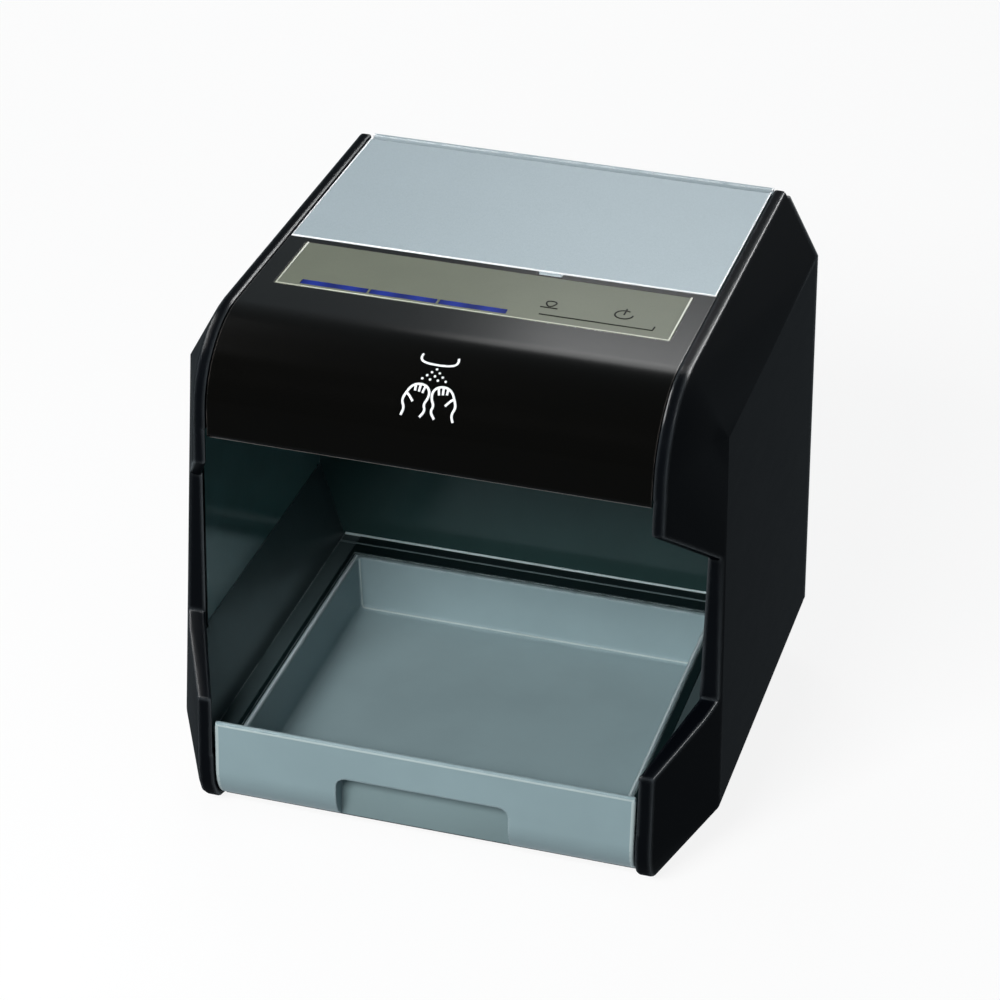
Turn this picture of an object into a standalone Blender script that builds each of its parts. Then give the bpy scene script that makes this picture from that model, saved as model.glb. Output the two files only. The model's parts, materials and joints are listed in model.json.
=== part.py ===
"""Automatic hand sanitizer dispenser: a table-top cabinet that sprays the hands held in its open front.

Units are metres, +Z is up, the open front faces -Y, and the origin is on the table under the middle.
"""

import math

import bmesh
import bpy
from mathutils import Matrix, Vector

# Whole housing
HOUSING_WIDTH = 0.272
HOUSING_DEPTH = 0.248
HOUSING_HEIGHT = 0.260
FOOT_HEIGHT = 0.0025
WALL = 0.003
SEAT_GAP = 0.0003
CUT_OVERRUN = 0.006
MERGE_DISTANCE = 0.00001

# Side covers: a rim follows the front profile, and facets run from it to the outer side, which leans in
FACET_WIDTH = 0.023
RIM_WIDTH = 0.008
RIM_LEAN = 0.0025
SIDE_LEAN = 0.007
NOSE_REACH = 0.044
NOSE_DROP = 0.038
TOE_REACH = 0.016
TOE_RISE = 0.0235
CREASE_SETBACK = 0.045
SHOULDER_DROP = 0.034
SKIRT_RISE = 0.0245
SILL_FRONT_HEIGHT = 0.066
SILL_BACK_HEIGHT = 0.088
BROW_BACK_DROP = 0.096
BROW_FRONT_DROP = 0.065
COVER_ROUND = 0.0014
ARC_STEPS = 8

# Hood cover, control window and its lights
HOOD_RECESS = 0.0010
HOOD_SKIN = 0.0025
HOOD_BAND_HEIGHT = 0.052
HOOD_RETURN = 0.012
HOOD_LIP_RADIUS = 0.003
WINDOW_FRONT_SETBACK = 0.066
WINDOW_LENGTH = 0.047
WINDOW_SIDE_INSET = 0.010
WINDOW_FLANGE = 0.0025
WINDOW_FLANGE_THICKNESS = 0.0012
LIGHT_BAR_LENGTH = 0.032
LIGHT_BAR_WIDTH = 0.0042
LIGHT_BAR_PITCH = 0.0336
LIGHT_BAR_COUNT = 3
LIGHT_FIRST_INSET = 0.012
LIGHT_FRONT_INSET = 0.0035
LIGHT_CARRIER_THICKNESS = 0.0022
LIGHT_CARRIER_MARGIN = 0.003
BOARD_THICKNESS = 0.0016
DISPLAY_BOARD_SIDE_INSET = 0.005
DISPLAY_BOARD_LENGTH = 0.040
DISPLAY_PLUG_SIZE = 0.008

# Lid over the tank
LID_FRONT_SETBACK = 0.118
LID_BACK_SETBACK = 0.007
LID_RECESS = 0.0008
LID_SKIN = 0.002
LID_LIP = 0.007
LID_SIDE_GAP = 0.0006
LID_ROUND = 0.0012
LID_PULL_WIDTH = 0.011
LID_PULL_REACH = 0.003
LID_PULL_OFFSET = 0.025
HINGE_INSET = 0.0040
HINGE_DROP = 0.0062
HINGE_PIN_RADIUS = 0.0015
HINGE_RUNNING_GAP = 0.0001
HINGE_LUG_RADIUS = 0.0032
HINGE_LUG_WIDTH = 0.005
HINGE_BRACKET_THICKNESS = 0.0035
HINGE_BRACKET_LENGTH = 0.010
HINGE_EAR_RADIUS = 0.0034

# Decks and liner of the hand cavity
UPPER_DECK_THICKNESS = 0.003
PUMP_ROOM_DEPTH = 0.0275
LINER_THICKNESS = 0.002
LEDGE_HEIGHT = 0.039
LEDGE_THICKNESS = 0.003
BACK_LEDGE_DEPTH = 0.0175
FLANK_SETBACK = 0.005
FLANK_RISE = 0.041
LEDGE_FRONT_SETBACK = 0.0045
LEDGE_SKIRT_THICKNESS = 0.002
BOARD_BOSS_RADIUS = 0.003
BOARD_BOSS_LENGTH = 0.0045

# Base
BASE_THICKNESS = 0.003
RAIL_WIDTH = 0.006
RAIL_HEIGHT = 0.0008
RAIL_SPREAD = 0.140
RAIL_END_GAP = 0.006
FOOT_RADIUS = 0.008
FOOT_INSET_X = 0.022
FOOT_INSET_Y = 0.030
SCREW_SHANK_RADIUS = 0.0014
SCREW_HEAD_RADIUS = 0.0027
SCREW_HEAD_HEIGHT = 0.0014
SCREW_LENGTH = 0.009
SCREW_BOSS_RADIUS = 0.0038
SCREW_BOSS_LENGTH = 0.012
BASE_SCREW_SPREAD = 0.110
REAR_SCREW_INSET = 0.0065
REAR_SCREW_MARGIN = 0.032

# Drip tray
TRAY_TOP_HEIGHT = 0.053
TRAY_SIDE_GAP = 0.0005
TRAY_WALL = 0.0025
TRAY_FASCIA = 0.003
TRAY_LIP_RADIUS = 0.0014
BASIN_SIDE_INSET = 0.007
BASIN_DRAFT = 0.003
BASIN_FRONT_STEP = 0.0006
BASIN_TOP_DROP = 0.0005
BASIN_CORNER_RADIUS = 0.003
GRIP_WIDTH = 0.086
GRIP_HEIGHT = 0.028
GRIP_DEPTH = 0.009
GRIP_ROUND = 0.005

# Tank and cap
TANK_SIDE_GAP = 0.009
TANK_FRONT_GAP = 0.006
TANK_BACK_GAP = 0.009
TANK_WALL = 0.002
TANK_ROUND = 0.006
NECK_RADIUS = 0.018
NECK_HEIGHT = 0.005
NECK_SIDE_INSET = 0.051
CAP_RADIUS = 0.0225
CAP_HEIGHT = 0.0085
CAP_SKIN = 0.0018
CAP_SIDE_GAP = 0.0006
CAP_GRIP_WIDTH = 0.005
CAP_GRIP_HEIGHT = 0.002
CAP_HEADROOM = 0.0041
CAP_RIB_COUNT = 24
CAP_RIB_RADIUS = 0.0009
SEAL_THICKNESS = 0.0012
OUTLET_RADIUS = 0.0045
OUTLET_BORE_RADIUS = 0.0028
OUTLET_LENGTH = 0.007
OUTLET_OFFSET_X = 0.062
OUTLET_BACK_INSET = 0.0075

# Nozzle and hand sensor
NOZZLE_SETBACK = 0.095
NOZZLE_BODY_RADIUS = 0.009
NOZZLE_BODY_HEIGHT = 0.014
NOZZLE_STEM_RADIUS = 0.005
NOZZLE_STEM_DROP = 0.0026
NOZZLE_CHANNEL_RADIUS = 0.0015
NOZZLE_TIP_RADIUS = 0.0075
NOZZLE_TIP_HEIGHT = 0.0035
NOZZLE_ORIFICE_RADIUS = 0.0008
NOZZLE_BARB_RADIUS = 0.0022
NOZZLE_BARB_LENGTH = 0.008
SENSOR_SPREAD = 0.064
SENSOR_SETBACK = 0.062
SENSOR_RADIUS = 0.004
SENSOR_DOME_DROP = 0.0015
SENSOR_COLLAR_RADIUS = 0.0055
SENSOR_COLLAR_HEIGHT = 0.0015
SENSOR_BOARD_WIDTH = 0.084
SENSOR_BOARD_LENGTH = 0.018

# Gear pump and motor, in the room behind the cavity
PUMP_MODULE = 0.0008
GEAR_TEETH = 12
GEAR_WIDTH = 0.007
GEAR_TIP_GAP = 0.0002
GEAR_FACE_GAP = 0.0003
GEAR_BACKLASH = 0.00022
GEAR_PRESSURE_ANGLE = math.radians(25)
PUMP_WALL = 0.0032
PUMP_X = 0.026
PUMP_COVER_THICKNESS = 0.003
PUMP_PORT_RADIUS = 0.0014
PUMP_SPIGOT_RADIUS = 0.0022
PUMP_SPIGOT_LENGTH = 0.009
PUMP_PORT_SPREAD = 0.0084
JOURNAL_RADIUS = 0.0014
JOURNAL_LENGTH = 0.002
JOURNAL_GAP = 0.0001
SHAFT_RADIUS = 0.0012
MOTOR_RADIUS = 0.012
MOTOR_LENGTH = 0.031
MOTOR_ROUND = 0.0015
MOTOR_BOSS_RADIUS = 0.004
MOTOR_BOSS_LENGTH = 0.0015
MOTOR_SHAFT_DEPTH = 0.008
MOTOR_TERMINAL_LENGTH = 0.003
CRADLE_LIFT = 0.0075
CRADLE_WIDTH = 0.018
CRADLE_LENGTH = 0.022
CRADLE_WRAP = 0.006

# Tubes
TUBE_RADIUS = 0.0032
TUBE_BORE_GAP = 0.0003
TUBE_POINT_STEP = 0.008
SPRAY_TUBE_SIDE_GAP = 0.0094
SPRAY_TUBE_LIFT = 0.010
DECK_PORT_GAP = 0.0012

# Main board, power jack and power switch
MAIN_BOARD_WIDTH = 0.084
MAIN_BOARD_HEIGHT = 0.070
MAIN_BOARD_LEFT_INSET = 0.022
MAIN_BOARD_BOTTOM_HEIGHT = 0.080
MAIN_BOARD_HOLE_INSET = 0.006
WELL_WIDTH = 0.064
WELL_HEIGHT = 0.030
WELL_DEPTH = 0.0065
WELL_WALL = 0.002
WELL_SIDE_INSET = 0.036
WELL_BOTTOM_HEIGHT = 0.024
JACK_WIDTH = 0.011
JACK_HEIGHT = 0.011
JACK_DEPTH = 0.014
JACK_BORE_RADIUS = 0.0032
JACK_BORE_DEPTH = 0.010
JACK_PIN_RADIUS = 0.0010
JACK_FLANGE_RADIUS = 0.0050
JACK_PROUD = 0.0010
SWITCH_WIDTH = 0.021
SWITCH_HEIGHT = 0.015
SWITCH_DEPTH = 0.012
SWITCH_RIM = 0.0020
SWITCH_PROUD = 0.0012
ROCKER_TILT = math.radians(8)
ROCKER_GAP = 0.0005
ROCKER_BODY_DEPTH = 0.0055
ROCKER_PROUD = 0.0018

# Places that follow from the sizes above
FRONT = -HOUSING_DEPTH / 2
BACK = HOUSING_DEPTH / 2
BOTTOM = FOOT_HEIGHT
SIDE = HOUSING_WIDTH / 2
RIM_SIDE = SIDE - FACET_WIDTH
BAY_SIDE = RIM_SIDE - RIM_WIDTH
LINER_BACKING = SIDE - SIDE_LEAN - WALL - SEAT_GAP
CAVITY_SIDE = LINER_BACKING - LINER_THICKNESS - SEAT_GAP
NOTCH_DEPTH = CREASE_SETBACK - WALL
SKIRT_HEIGHT = BOTTOM + SKIRT_RISE
SHOULDER_HEIGHT = HOUSING_HEIGHT - SHOULDER_DROP
COVER_BACK = BACK - WALL - SEAT_GAP
BASE_TOP = BOTTOM + BASE_THICKNESS
TRAY_BOTTOM_HEIGHT = BASE_TOP + SEAT_GAP
HOOD_TOP = HOUSING_HEIGHT - HOOD_RECESS
DECK_BOTTOM = HOUSING_HEIGHT - HOOD_BAND_HEIGHT
DECK_TOP = DECK_BOTTOM + UPPER_DECK_THICKNESS
LEDGE_BOTTOM = LEDGE_HEIGHT - LEDGE_THICKNESS
FLANK_FOOT = BAY_SIDE + FLANK_SETBACK
FLANK_TOP = LEDGE_HEIGHT + FLANK_RISE
ROOM_MARGIN = SEAT_GAP + COVER_ROUND
BACK_WALL_BACK = COVER_BACK - PUMP_ROOM_DEPTH
BACK_WALL_FRONT = BACK_WALL_BACK - LINER_THICKNESS
LEDGE_SLOT_END = BACK_WALL_FRONT - SEAT_GAP - BACK_LEDGE_DEPTH
BASIN_SIDE = BAY_SIDE - BASIN_SIDE_INSET
BASIN_END = LEDGE_SLOT_END - TRAY_SIDE_GAP
BASIN_FLOOR = BASE_TOP + RAIL_HEIGHT + SEAT_GAP
WINDOW_SIDE = BAY_SIDE - WINDOW_SIDE_INSET
LID_FRONT = FRONT + LID_FRONT_SETBACK
LID_BACK = BACK - LID_BACK_SETBACK
LID_TOP = HOUSING_HEIGHT - LID_RECESS
LID_SIDE = BAY_SIDE - LID_SIDE_GAP
HINGE_Y = LID_BACK - HINGE_INSET
HINGE_Z = LID_TOP - HINGE_DROP
TANK_BOTTOM = DECK_TOP + SEAT_GAP
TANK_TOP = LID_TOP - LID_SKIN - CAP_HEADROOM - CAP_GRIP_HEIGHT - CAP_HEIGHT - SEAT_GAP
TANK_SIDE = BAY_SIDE - TANK_SIDE_GAP
TANK_FRONT = LID_FRONT + TANK_FRONT_GAP
TANK_BACK = LID_BACK - TANK_BACK_GAP
TANK_MIDDLE_Y = (TANK_FRONT + TANK_BACK) / 2
NECK_X = TANK_SIDE - NECK_SIDE_INSET
PUMP_ROOM_MIDDLE_Y = (BACK_WALL_BACK + COVER_BACK) / 2
SPRAY_TUBE_X = CAVITY_SIDE - SPRAY_TUBE_SIDE_GAP
MOTOR_AXIS_Z = BASE_TOP + CRADLE_LIFT + MOTOR_RADIUS
GEAR_PITCH_RADIUS = PUMP_MODULE * GEAR_TEETH / 2
GEAR_TIP_RADIUS = GEAR_PITCH_RADIUS + PUMP_MODULE
GEAR_DISTANCE = 2 * GEAR_PITCH_RADIUS
DRIVEN_AXIS_Z = MOTOR_AXIS_Z + GEAR_DISTANCE

PARTS = bpy.data.collections.new("sanitizer_dispenser")
CUTTERS = bpy.data.collections.new("cutters")

# Colour, roughness and metallic value of each material
FINISHES = {
    "cover_black": ((0.012, 0.013, 0.016), 0.38, 0.0),
    "hood_gloss": ((0.010, 0.008, 0.007), 0.08, 0.0),
    "window_olive": ((0.26, 0.27, 0.22), 0.30, 0.0),
    "light_blue": ((0.010, 0.030, 0.35), 0.25, 0.0),
    "lid_silver": ((0.42, 0.47, 0.50), 0.35, 0.0),
    "liner_smoke": ((0.020, 0.036, 0.038), 0.10, 0.0),
    "tray_grey": ((0.24, 0.31, 0.33), 0.40, 0.0),
    "base_black": ((0.020, 0.020, 0.022), 0.55, 0.0),
    "rubber_black": ((0.015, 0.015, 0.015), 0.85, 0.0),
    "tank_clear": ((0.75, 0.80, 0.82), 0.20, 0.0),
    "cap_white": ((0.70, 0.71, 0.70), 0.40, 0.0),
    "board_green": ((0.020, 0.12, 0.050), 0.45, 0.0),
    "steel": ((0.55, 0.55, 0.56), 0.28, 1.0),
    "pump_grey": ((0.30, 0.31, 0.32), 0.45, 0.0),
    "gear_cream": ((0.72, 0.68, 0.56), 0.45, 0.0),
    "tube_clear": ((0.70, 0.73, 0.74), 0.25, 0.0),
    "lens_dark": ((0.030, 0.008, 0.010), 0.06, 0.0),
}


def clear_scene():
    for thing in list(bpy.data.objects):
        bpy.data.objects.remove(thing)


def material(name):
    """The named Principled material, made the first time that it is asked for."""
    found = bpy.data.materials.get(name)
    if found:
        return found
    colour, roughness, metallic = FINISHES[name]
    made = bpy.data.materials.new(name)
    made.use_nodes = True
    shader = made.node_tree.nodes["Principled BSDF"]
    shader.inputs["Base Color"].default_value = (*colour, 1.0)
    shader.inputs["Roughness"].default_value = roughness
    shader.inputs["Metallic"].default_value = metallic
    return made


def object_of(name, bm, finish=None, smooth=False, closed=True):
    """A new object from a bmesh: a part with its own material, or a cutter where finish is None."""
    if closed:
        bmesh.ops.recalc_face_normals(bm, faces=bm.faces)
    mesh = bpy.data.meshes.new(name)
    bm.to_mesh(mesh)
    bm.free()
    made = bpy.data.objects.new(name, mesh)
    if finish is None:
        CUTTERS.objects.link(made)
        made.hide_render = True
        made.display_type = "WIRE"
        return made
    PARTS.objects.link(made)
    own = material(finish).copy()
    own.name = name + "_" + finish
    mesh.materials.append(own)
    if smooth:
        mesh.shade_smooth()
        mesh.set_sharp_from_angle(angle=math.radians(35))
    return made


def box(name, low, high, finish=None):
    """A box between two opposite corners."""
    bm = bmesh.new()
    low, high = Vector(low), Vector(high)
    size = high - low
    place = Matrix.Translation((low + high) / 2) @ Matrix.Diagonal((*size, 1.0))
    bmesh.ops.create_cube(bm, size=1.0, matrix=place)
    return object_of(name, bm, finish)


def turned_to(axis):
    """The rotation that takes +Z to the given axis."""
    return Vector((0, 0, 1)).rotation_difference(Vector(axis)).to_matrix().to_4x4()


def cylinder(name, start, axis, length, radius, finish=None, segments=32, end_radius=None):
    """A cylinder or cone from start along axis."""
    bm = bmesh.new()
    axis = Vector(axis).normalized()
    middle = Vector(start) + axis * (length / 2)
    place = Matrix.Translation(middle) @ turned_to(axis)
    last = radius if end_radius is None else end_radius
    bmesh.ops.create_cone(bm, cap_ends=True, segments=segments, radius1=radius, radius2=last,
                          depth=length, matrix=place)
    return object_of(name, bm, finish, smooth=True)


def prism(name, outline, axis, start, end, finish=None):
    """A flat outline, given in the two other axes in X, Y, Z order, drawn out along axis from start to end."""
    bm = bmesh.new()
    corners = []
    for first, second in outline:
        point = [first, second]
        point.insert("XYZ".index(axis), start)
        corners.append(bm.verts.new(point))
    face = bm.faces.new(corners)
    drawn = bmesh.ops.extrude_face_region(bm, geom=[face])
    step = [0.0, 0.0, 0.0]
    step["XYZ".index(axis)] = end - start
    moved = [item for item in drawn["geom"] if isinstance(item, bmesh.types.BMVert)]
    bmesh.ops.translate(bm, verts=moved, vec=step)
    return object_of(name, bm, finish)


def hull(name, points, finish=None):
    """The smallest convex solid around the points."""
    bm = bmesh.new()
    for point in points:
        bm.verts.new(point)
    made = bmesh.ops.convex_hull(bm, input=bm.verts)
    spare = [item for item in made["geom_interior"] if isinstance(item, bmesh.types.BMVert)]
    bmesh.ops.delete(bm, geom=spare, context="VERTS")
    bmesh.ops.dissolve_limit(bm, angle_limit=math.radians(0.2), verts=bm.verts, edges=bm.edges)
    return object_of(name, bm, finish)


def boolean(target, tool, operation):
    step = target.modifiers.new(operation.lower() + "_" + tool.name, "BOOLEAN")
    step.operation = operation
    step.solver = "EXACT"
    step.object = tool
    return step


def cut(target, *tools):
    for tool in tools:
        boolean(target, tool, "DIFFERENCE")


def join(target, *tools):
    for tool in tools:
        boolean(target, tool, "UNION")


def rounded(target, width, segments=2, angle=math.radians(30)):
    bevel = target.modifiers.new("rounded_edges", "BEVEL")
    bevel.width = width
    bevel.segments = segments
    bevel.limit_method = "ANGLE"
    bevel.angle_limit = angle
    bevel.use_clamp_overlap = True
    return bevel


def put_origin(thing, point):
    """Moves an object's origin to a point of its joint's axis, and leaves its shape where it is."""
    shift = Vector(point) - thing.location
    thing.data.transform(Matrix.Translation(-shift))
    thing.location = Vector(point)


def arc(centre, reach, rise, start_angle, end_angle, steps):
    """Points on a quarter of an ellipse, as (y, z)."""
    points = []
    for step in range(steps + 1):
        angle = start_angle + (end_angle - start_angle) * step / steps
        points.append((centre[0] + reach * math.cos(angle), centre[1] + rise * math.sin(angle)))
    return points


def rounded_rectangle(low, high, radius, steps=4):
    """The corner points of a flat rectangle with round corners, anticlockwise."""
    centres = (
        (high[0] - radius, high[1] - radius),
        (low[0] + radius, high[1] - radius),
        (low[0] + radius, low[1] + radius),
        (high[0] - radius, low[1] + radius),
    )
    points = []
    for quarter, centre in enumerate(centres):
        first = quarter * math.pi / 2
        points += arc(centre, radius, radius, first, first + math.pi / 2, steps)
    return points


def corner_shift(wall, run, rise):
    """How far a corner between a face and a slanted facet moves along the face when both get a wall."""
    return wall * (math.hypot(run, rise) - run) / rise


def screw(name, seat, axis):
    """A screw whose head lies just over its seat, and whose shank runs along axis."""
    seat, axis = Vector(seat), Vector(axis)
    head_start = seat - axis * (SEAT_GAP + SCREW_HEAD_HEIGHT)
    head = cylinder(name, head_start, axis, SCREW_HEAD_HEIGHT, SCREW_HEAD_RADIUS, "steel", segments=20)
    shank = cylinder(name + "_shank", head_start + axis * (SCREW_HEAD_HEIGHT / 2), axis,
                     SCREW_HEAD_HEIGHT / 2 + SCREW_LENGTH, SCREW_SHANK_RADIUS, segments=12)
    join(head, shank)
    return head


def screw_way(name, target, seat, axis):
    """Cuts a screw's hole through a wall, with a counterbore that takes its head."""
    seat, axis = Vector(seat), Vector(axis)
    hole = cylinder(name + "_hole", seat - axis * CUT_OVERRUN, axis, SCREW_LENGTH + 2 * CUT_OVERRUN,
                    SCREW_SHANK_RADIUS + SEAT_GAP, segments=16)
    counterbore = cylinder(name + "_counterbore", seat, -axis, CUT_OVERRUN, SCREW_HEAD_RADIUS + SEAT_GAP,
                           segments=24)
    cut(target, hole, counterbore)


def screw_boss(name, target, base, axis):
    """Adds a boss that stands along axis, with the screw's hole in it."""
    base, axis = Vector(base), Vector(axis)
    boss = cylinder(name + "_boss", base, axis, SCREW_BOSS_LENGTH, SCREW_BOSS_RADIUS, segments=24)
    join(target, boss)
    hole = cylinder(name + "_boss_hole", base - axis * CUT_OVERRUN, axis,
                    SCREW_LENGTH + CUT_OVERRUN, SCREW_SHANK_RADIUS + SEAT_GAP, segments=16)
    cut(target, hole)


def base_screw_seats():
    """Where the base's screws sit under it, in front of the rear cover."""
    y = BACK_WALL_BACK + SCREW_BOSS_RADIUS - WALL / 2
    z = BOTTOM + SCREW_HEAD_HEIGHT + SEAT_GAP
    return {
        "base_screw_left": (-BASE_SCREW_SPREAD / 2, y, z),
        "base_screw_right": (BASE_SCREW_SPREAD / 2, y, z),
    }


def rear_screw_seats():
    """Where the rear cover's screws sit in its back face, near its corners."""
    y = BACK - SCREW_HEAD_HEIGHT - SEAT_GAP
    low = SKIRT_HEIGHT + REAR_SCREW_MARGIN
    high = SHOULDER_HEIGHT - REAR_SCREW_MARGIN
    return {
        "rear_screw_%s_%s" % (where, hand): (side * (side_at(z) - REAR_SCREW_INSET), y, z)
        for side, hand in ((-1, "left"), (1, "right"))
        for z, where in ((low, "lower"), (high, "upper"))
    }


def screws():
    """The screws under the base and in the back."""
    for name, seat in base_screw_seats().items():
        screw(name, seat, (0, 0, 1))
    for name, seat in rear_screw_seats().items():
        screw(name, seat, (0, -1, 0))


def side_at(height):
    """Half the housing's width at a height of its flat side, which leans in from the skirt to the shoulder."""
    return SIDE - SIDE_LEAN * (height - SKIRT_HEIGHT) / (SHOULDER_HEIGHT - SKIRT_HEIGHT)


def rim_at(height):
    """Distance from the middle to the rim's outer edge at a height."""
    return RIM_SIDE - RIM_LEAN * (height - BOTTOM) / (HOUSING_HEIGHT - BOTTOM)


def rim_profile(inset, back):
    """The rim's side view as (y, z): toe, front, nose and top, moved in by inset."""
    front = FRONT + inset
    low = BOTTOM + inset
    high = HOUSING_HEIGHT - inset
    toe = (FRONT + TOE_REACH, BOTTOM + TOE_RISE)
    nose = (FRONT + NOSE_REACH, HOUSING_HEIGHT - NOSE_DROP)
    points = [(back, low)]
    points += arc(toe, toe[0] - front, toe[1] - low, 1.5 * math.pi, math.pi, ARC_STEPS // 2)
    points += arc(nose, nose[0] - front, high - nose[1], math.pi, math.pi / 2, ARC_STEPS)
    points.append((back, high))
    return points


def cover_block(name, inset, inner, back):
    """A side cover's outer form as one convex block, or with an inset, the room inside its wall."""
    shift = corner_shift(inset, FACET_WIDTH, CREASE_SETBACK)
    crease = FRONT + CREASE_SETBACK + corner_shift(inset, CREASE_SETBACK, FACET_WIDTH)
    shoulder = SHOULDER_HEIGHT - corner_shift(inset, SHOULDER_DROP, FACET_WIDTH)
    skirt = SKIRT_HEIGHT + corner_shift(inset, SKIRT_RISE, FACET_WIDTH)
    profile = rim_profile(inset, back)
    points = [(inner, y, z) for y, z in profile]
    points += [(rim_at(z) - shift, y, z) for y, z in profile]
    points += [(side_at(z) - inset, y, z) for y in (crease, back) for z in (skirt, shoulder)]
    return hull(name, points)


def notch_outline():
    """Side view of the recess in the front edge, as (y, z)."""
    sill_slope = (SILL_BACK_HEIGHT - SILL_FRONT_HEIGHT) / NOTCH_DEPTH
    brow_slope = (BROW_BACK_DROP - BROW_FRONT_DROP) / NOTCH_DEPTH
    brow_front = HOUSING_HEIGHT - BROW_FRONT_DROP
    ahead = FRONT - CUT_OVERRUN
    behind = FRONT + NOTCH_DEPTH
    return [
        (ahead, SILL_FRONT_HEIGHT - CUT_OVERRUN * sill_slope),
        (behind, SILL_BACK_HEIGHT),
        (behind, HOUSING_HEIGHT - BROW_BACK_DROP),
        (ahead, brow_front + CUT_OVERRUN * brow_slope),
    ]


def cheek_side(y):
    """Half the width of the hand opening at a place y: it widens from the bay to the cavity over the notch."""
    share = min(max((y - FRONT) / NOTCH_DEPTH, 0), 1)
    return BAY_SIDE + share * (CAVITY_SIDE - BAY_SIDE)


def cavity_plan(inner, back):
    """Plan of the room between the cheeks, from x = inner outwards, as (x, y)."""
    return [
        (inner, FRONT - CUT_OVERRUN),
        (BAY_SIDE, FRONT - CUT_OVERRUN),
        (BAY_SIDE, FRONT),
        (CAVITY_SIDE, FRONT + NOTCH_DEPTH),
        (CAVITY_SIDE, back),
        (inner, back),
    ]


def mirrored_points(points):
    """An outline in (x, y) that runs up its right side, closed by its mirror image."""
    return points + [(-x, y) for x, y in reversed(points)]


def side_cover(hand):
    """One moulded side cover, built on the right and mirrored for the left."""
    name = "side_cover_right" if hand > 0 else "side_cover_left"
    body = cover_block(name + "_form", 0.0, BAY_SIDE, COVER_BACK)
    recess = prism(name + "_notch", notch_outline(), "X", BAY_SIDE - CUT_OVERRUN, SIDE + CUT_OVERRUN)
    room = prism(name + "_opening", cavity_plan(BAY_SIDE - CUT_OVERRUN, BACK + CUT_OVERRUN), "Z",
                 LEDGE_BOTTOM - ROOM_MARGIN, DECK_TOP + ROOM_MARGIN)
    hollow = cover_block(name + "_hollow", WALL, BAY_SIDE - CUT_OVERRUN, COVER_BACK + CUT_OVERRUN)
    cheek = box(name + "_cheek",
                (BAY_SIDE - 2 * CUT_OVERRUN, FRONT - CUT_OVERRUN, LEDGE_BOTTOM - ROOM_MARGIN - WALL),
                (SIDE + CUT_OVERRUN, FRONT + NOTCH_DEPTH + WALL, DECK_TOP + ROOM_MARGIN + WALL))
    cut(hollow, cheek)
    cut(body, recess, room)
    rounded(body, COVER_ROUND)
    cut(body, hollow)
    for screw_name, (x, _, z) in rear_screw_seats().items():
        if x > 0:
            screw_boss(name + screw_name, body, (x, COVER_BACK, z), (0, -1, 0))
    finished = evaluated_copy(name, body, "cover_black")
    if hand < 0:
        mirror_x(finished)
    return finished


def evaluated_copy(name, source, finish):
    """A plain part made from what a helper object's modifiers give."""
    bpy.context.view_layer.update()
    graph = bpy.context.evaluated_depsgraph_get()
    mesh = bpy.data.meshes.new_from_object(source.evaluated_get(graph))
    mesh.name = name
    mesh.transform(source.matrix_world)
    made = bpy.data.objects.new(name, mesh)
    PARTS.objects.link(made)
    mesh.materials.clear()
    own = material(finish).copy()
    own.name = name + "_" + finish
    mesh.materials.append(own)
    mesh.shade_smooth()
    mesh.set_sharp_from_angle(angle=math.radians(35))
    return made


def mirror_x(thing):
    """Turns a part into its other hand, with its faces still outwards."""
    thing.data.transform(Matrix.Diagonal((-1.0, 1.0, 1.0, 1.0)))
    thing.data.flip_normals()


def hood_profile():
    """Side view of the hood's outer skin, from the lid over the nose to the return under it, as (y, z)."""
    front = FRONT + HOOD_RECESS
    nose = (FRONT + NOSE_REACH, HOUSING_HEIGHT - NOSE_DROP)
    lip = (front + HOOD_LIP_RADIUS, DECK_BOTTOM + HOOD_LIP_RADIUS)
    points = [(LID_FRONT - LID_SIDE_GAP, HOOD_TOP)]
    points += arc(nose, nose[0] - front, HOOD_TOP - nose[1], math.pi / 2, math.pi, 2 * ARC_STEPS)
    points += arc(lip, HOOD_LIP_RADIUS, HOOD_LIP_RADIUS, math.pi, 1.5 * math.pi, ARC_STEPS // 2)
    points.append((FRONT + HOOD_RETURN, DECK_BOTTOM))
    return points


def window_corners(margin):
    """Low and high corner of the window's place in the hood's top, in (x, y), grown by margin."""
    half = WINDOW_SIDE + margin
    front = FRONT + WINDOW_FRONT_SETBACK - margin
    back = FRONT + WINDOW_FRONT_SETBACK + WINDOW_LENGTH + margin
    return (-half, front), (half, back)


def hood_cover():
    """The gloss hood: one bent skin over the nozzle room, open where the window sits."""
    bm = bmesh.new()
    half = BAY_SIDE - SEAT_GAP
    rows = [[bm.verts.new((x, y, z)) for x in (-half, half)] for y, z in hood_profile()]
    for first, second in zip(rows, rows[1:]):
        bm.faces.new((first[0], second[0], second[1], first[1]))
    hood = object_of("hood_cover", bm, "hood_gloss", smooth=True, closed=False)
    skin = hood.modifiers.new("skin", "SOLIDIFY")
    skin.thickness = HOOD_SKIN
    skin.offset = -1.0
    skin.use_even_offset = True
    low, high = window_corners(0.0)
    opening = box("window_opening", (*low, HOOD_TOP - WALL - CUT_OVERRUN), (*high, HOOD_TOP + CUT_OVERRUN))
    pull_half = LID_PULL_WIDTH / 2 + LID_SIDE_GAP
    notch = box("pull_notch",
                (LID_PULL_OFFSET - pull_half, LID_FRONT - LID_PULL_REACH - LID_SIDE_GAP, HOOD_TOP - WALL),
                (LID_PULL_OFFSET + pull_half, LID_FRONT + CUT_OVERRUN, HOOD_TOP + CUT_OVERRUN))
    cut(hood, opening, notch)
    return hood


def light_bar_places():
    """The left end and the front of each light bar, in (x, y)."""
    left = -WINDOW_SIDE + LIGHT_FIRST_INSET
    front = FRONT + WINDOW_FRONT_SETBACK + LIGHT_FRONT_INSET
    return [(left + number * LIGHT_BAR_PITCH, front) for number in range(LIGHT_BAR_COUNT)]


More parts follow.
